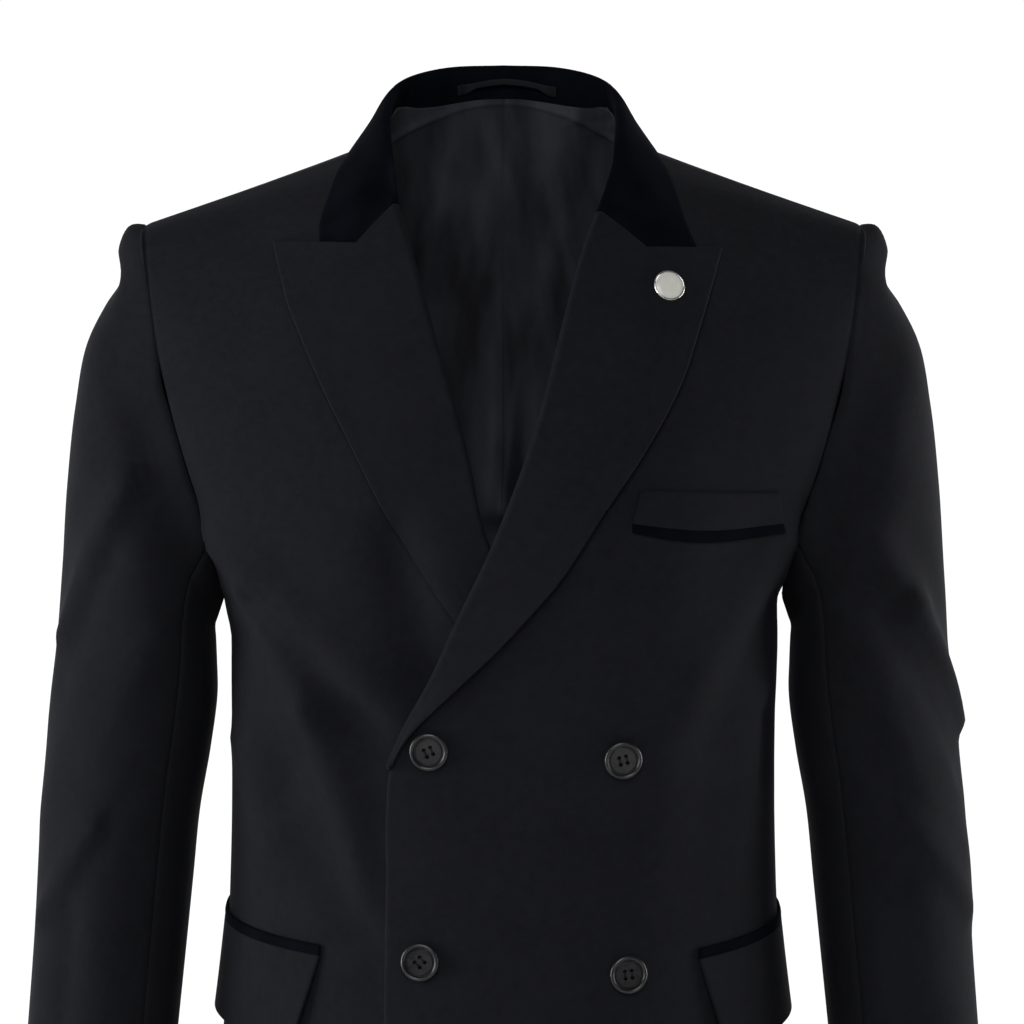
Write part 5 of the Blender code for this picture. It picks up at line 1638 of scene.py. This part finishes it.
class OVERCOAT_OT_hanger_loop(bpy.types.Operator):
    """Tacks the hanger loop inside the collar stand"""

    bl_idname = "overcoat.hanger_loop"
    bl_label = "Hanger loop"

    def execute(self, context):
        us, vs = spaced((0.0, 1.0, 60)), spaced((0.0, 1.0, 6))
        satin = context.scene.overcoat_cloth.satin
        sewn(
            "hanger_loop", us, vs, loop_point, satin, "black_satin", cloth="black_braid",
        )
        paths = []
        for end in TACK_ENDS:
            for row in range(5):
                height = 0.12 + 0.19 * row
                along = np.array([end - TACK_REACH, end, end + TACK_REACH])
                stitch = loop_point(along, np.array([height, height + 0.02, height]))
                stitch[:, 1] -= (0.0000, 0.0004, 0.0000)
                paths.append(stitch)
        threads("hanger_loop_tacks", paths, TACK_RADIUS)
        return {"FINISHED"}


class OVERCOAT_OT_pockets(bpy.types.Operator):
    """Sets the hip flaps, the chest welt and their velvet bands on the fronts"""

    bl_idname = "overcoat.pockets"
    bl_label = "Pockets"

    def execute(self, context):
        cloth = context.scene.overcoat_cloth
        us = spaced((0.0, 0.03, 3), (0.03, 0.97, 50), (0.97, 1.0, 3))
        for hand, front, flap, side in (
            ("left", LEFT_FRONT, FLAP_LEFT, 1),
            ("right", RIGHT_FRONT, FLAP_RIGHT, -1),
        ):

            def flap_face(u, v, front=front, flap=flap):
                corner = 0.010 * (1.0 - step(0.0, 0.16, u))
                depth = 0.0004 + v * (FLAP_DEPTH - corner)
                return flap_point(front, flap, u, depth, POCKET_LIFT + cloth.wool + 0.0040 * v)

            def band_face(u, v, front=front, flap=flap):
                proud = 0.0005 * np.sin(np.pi * v)
                return flap_point(front, flap, u, (v - 1.0) * TRIM, POCKET_LIFT + cloth.velvet + proud)

            sewn(
                "pocket_flap_" + hand, us, spaced((0.0, 0.03, 2), (0.03, 0.97, 22), (0.97, 1.0, 2)),
                flap_face, cloth.wool, "charcoal_wool", side,
            )
            sewn(
                "pocket_trim_" + hand, us, spaced((0.0, 1.0, 8)),
                band_face, cloth.velvet, "black_velvet", side,
            )

        def welt_face(u, v):
            top_x, top_z = welt_line(WELT_TOP, u)
            foot_x, foot_z = welt_line(WELT_FOOT, u)
            x, z = top_x + (foot_x - top_x) * v, top_z + (foot_z - top_z) * v
            return LEFT_FRONT.spot(x, z, POCKET_LIFT + cloth.wool)

        def welt_band(u, v):
            x, z = welt_line(WELT_FOOT, u)
            depth = WELT_TRIM * (0.72 + 0.28 * np.sin(np.pi * u))
            proud = 0.0006 * np.sin(np.pi * v)
            return LEFT_FRONT.spot(x, z - 0.0004 - v * depth, POCKET_LIFT + cloth.velvet + proud)

        sewn(
            "chest_welt", us, spaced((0.0, 1.0, 14)),
            welt_face, cloth.wool, "charcoal_wool",
        )
        sewn(
            "chest_welt_trim", us, spaced((0.0, 1.0, 8)),
            welt_band, cloth.velvet, "black_velvet",
        )
        return {"FINISHED"}


class OVERCOAT_OT_buttons(bpy.types.Operator):
    """Sews on the four-hole buttons"""

    bl_idname = "overcoat.buttons"
    bl_label = "Buttons"

    def execute(self, context):
        shape = button_mesh()
        half = 0.5 * BUTTON_PITCH
        hops = [(share * half, height) for share, height in THREAD_HOPS]
        paths = []
        for row in BUTTONS:
            away = surface_normal(LEFT_FRONT, row.x, row.z)
            point = LEFT_FRONT.spot(np.array([row.x]), np.array([row.z]))[0] + away * row.seat
            place = seat_matrix(point, away, row.turn)
            mesh = shape.copy()
            mesh.transform(place)
            mesh.shade_smooth()
            mesh.set_sharp_from_angle(angle=math.radians(38.0))
            worn(row.name, mesh, "dark_resin")
            for side in (-half, half):
                for strand in (-STRAND, STRAND):
                    paths.append([place @ Vector((side + strand, y, z)) for y, z in hops])
        threads("button_threads", paths, context.scene.overcoat_cloth.thread_radius)
        return {"FINISHED"}


class OVERCOAT_OT_pin(bpy.types.Operator):
    """Pins the plain round pin to the left lapel"""

    bl_idname = "overcoat.pin"
    bl_label = "Lapel pin"

    def execute(self, context):
        away = surface_normal(LEFT_FRONT, *PIN_PLACE)
        seat = LAPEL_LIFT + LAPEL_BELLY + PIN_SEAT
        point = LEFT_FRONT.spot(np.array([PIN_PLACE[0]]), np.array([PIN_PLACE[1]]))[0] + away * seat
        mesh = turned_mesh("lapel_pin", PIN_PROFILE, 72)
        mesh.materials.clear()
        for polygon in mesh.polygons:
            centre = polygon.center
            face = math.hypot(centre.x, centre.y) < PIN_RIM and polygon.normal.z > 0.5
            polygon.material_index = 1 if face else 0
        mesh.transform(seat_matrix(point, away, 0.0))
        mesh.shade_smooth()
        mesh.set_sharp_from_angle(angle=math.radians(50.0))
        worn("lapel_pin", mesh, "silver", finish("silver"), finish("ivory_enamel"))
        return {"FINISHED"}


class OVERCOAT_OT_stage(bpy.types.Operator):
    """Sets the floor, the lights and the camera"""

    bl_idname = "overcoat.stage"
    bl_label = "Stage"

    def execute(self, context):
        stage = context.scene.overcoat_stage
        ground = bmesh.new()
        bmesh.ops.create_circle(ground, cap_ends=True, segments=96, radius=FLOOR_RADIUS)
        mesh = bpy.data.meshes.new("floor")
        ground.to_mesh(mesh)
        ground.free()
        paper = Finish("pale_floor", specular_ior_level=0.1)
        place = paper.place()
        grain = paper.noise(place, 6.0, 2.0, 0.5)
        tone = paper.clouded(grain, 0.3, 0.7, rgba(stage.floor, 0.985), rgba(stage.floor))
        roughness = paper.ranged(grain, 0.3, 0.7, 0.80, 0.90)
        mesh.materials.append(paper.feed(base_color=tone, roughness=roughness))
        mesh.transform(Matrix.Translation((0.0, 0.0, CAD_BOX[0][2] - FLOOR_GAP)))
        floor = linked("floor", mesh)

        world = bpy.data.worlds.new("white_room")
        room = Shading(world)
        way = room.node("ShaderNodeTexCoord", {}, {}, "Generated")
        behind = room.node("ShaderNodeSeparateXYZ", {}, {"Vector": way}, "Y")
        glow = room.node(
            "ShaderNodeMapRange",
            {"interpolation_type": "SMOOTHSTEP"},
            {0: behind, 1: 0.10, 2: 0.85, 3: stage.room, 4: stage.backdrop},
        )
        white = room.tree.nodes["Background"]
        white.inputs["Color"].default_value = (1.0, 1.0, 1.0, 1.0)
        room.tree.links.new(glow.socket, white.inputs["Strength"])
        context.scene.world = world
        for row in SOFTBOXES:
            light = bpy.data.lights.new(row.name, "AREA")
            light.shape = "RECTANGLE"
            light.size = row.size
            light.size_y = row.size * SOFTBOX_TALL
            light.energy = getattr(stage, row.setting) * row.share
            lamp = linked(row.name, light)
            lamp.location = (row.x, row.y, row.z)
            lamp.rotation_euler = (LIGHT_TARGET - lamp.location).to_track_quat("-Z", "Y").to_euler()

        lens = bpy.data.cameras.new("camera")
        lens.lens = CAMERA_LENS
        lens.sensor_width = 36.0
        camera = linked("camera", lens)
        camera.location = CAMERA_PLACE
        camera.rotation_euler = (math.radians(90.0 - CAMERA_PITCH), 0.0, 0.0)
        context.scene.camera = camera
        context.scene.view_settings.view_transform = "Standard"
        context.scene.view_settings.look = "None"
        return {"FINISHED"}


class OVERCOAT_PT_panel(bpy.types.Panel):
    """Lists the coat's pieces in the order they are sewn"""

    bl_idname = "OVERCOAT_PT_panel"
    bl_label = "Overcoat"
    bl_space_type = "VIEW_3D"
    bl_region_type = "UI"
    bl_category = "Overcoat"

    def draw(self, context):
        scene = context.scene
        for settings in (scene.overcoat_cloth, scene.overcoat_looks, scene.overcoat_stage):
            box = self.layout.box()
            for name in settings.bl_rna.properties.keys():
                if name not in ("rna_type", "name"):
                    box.prop(settings, name)
        for operator in OPERATORS:
            self.layout.operator(operator.bl_idname)


GROUPS = (CoatCloth, CoatLooks, CoatStage)
OPERATORS = (
    OVERCOAT_OT_fronts,
    OVERCOAT_OT_backs,
    OVERCOAT_OT_lining,
    OVERCOAT_OT_sleeves,
    OVERCOAT_OT_lapels,
    OVERCOAT_OT_collar,
    OVERCOAT_OT_hanger_loop,
    OVERCOAT_OT_pockets,
    OVERCOAT_OT_buttons,
    OVERCOAT_OT_pin,
    OVERCOAT_OT_stage,
)


def register():
    for each in GROUPS + OPERATORS + (OVERCOAT_PT_panel,):
        bpy.utils.register_class(each)
    bpy.types.Scene.overcoat_cloth = bpy.props.PointerProperty(type=CoatCloth)
    bpy.types.Scene.overcoat_looks = bpy.props.PointerProperty(type=CoatLooks)
    bpy.types.Scene.overcoat_stage = bpy.props.PointerProperty(type=CoatStage)


def unregister():
    del bpy.types.Scene.overcoat_cloth
    del bpy.types.Scene.overcoat_looks
    del bpy.types.Scene.overcoat_stage
    for each in reversed(GROUPS + OPERATORS + (OVERCOAT_PT_panel,)):
        bpy.utils.unregister_class(each)


def main():
    register()
    bpy.ops.overcoat.fronts()
    bpy.ops.overcoat.backs()
    bpy.ops.overcoat.lining()
    bpy.ops.overcoat.sleeves()
    bpy.ops.overcoat.lapels()
    bpy.ops.overcoat.collar()
    bpy.ops.overcoat.hanger_loop()
    bpy.ops.overcoat.pockets()
    bpy.ops.overcoat.buttons()
    bpy.ops.overcoat.pin()
    bpy.ops.overcoat.stage()


if __name__ == "__main__":
    main()
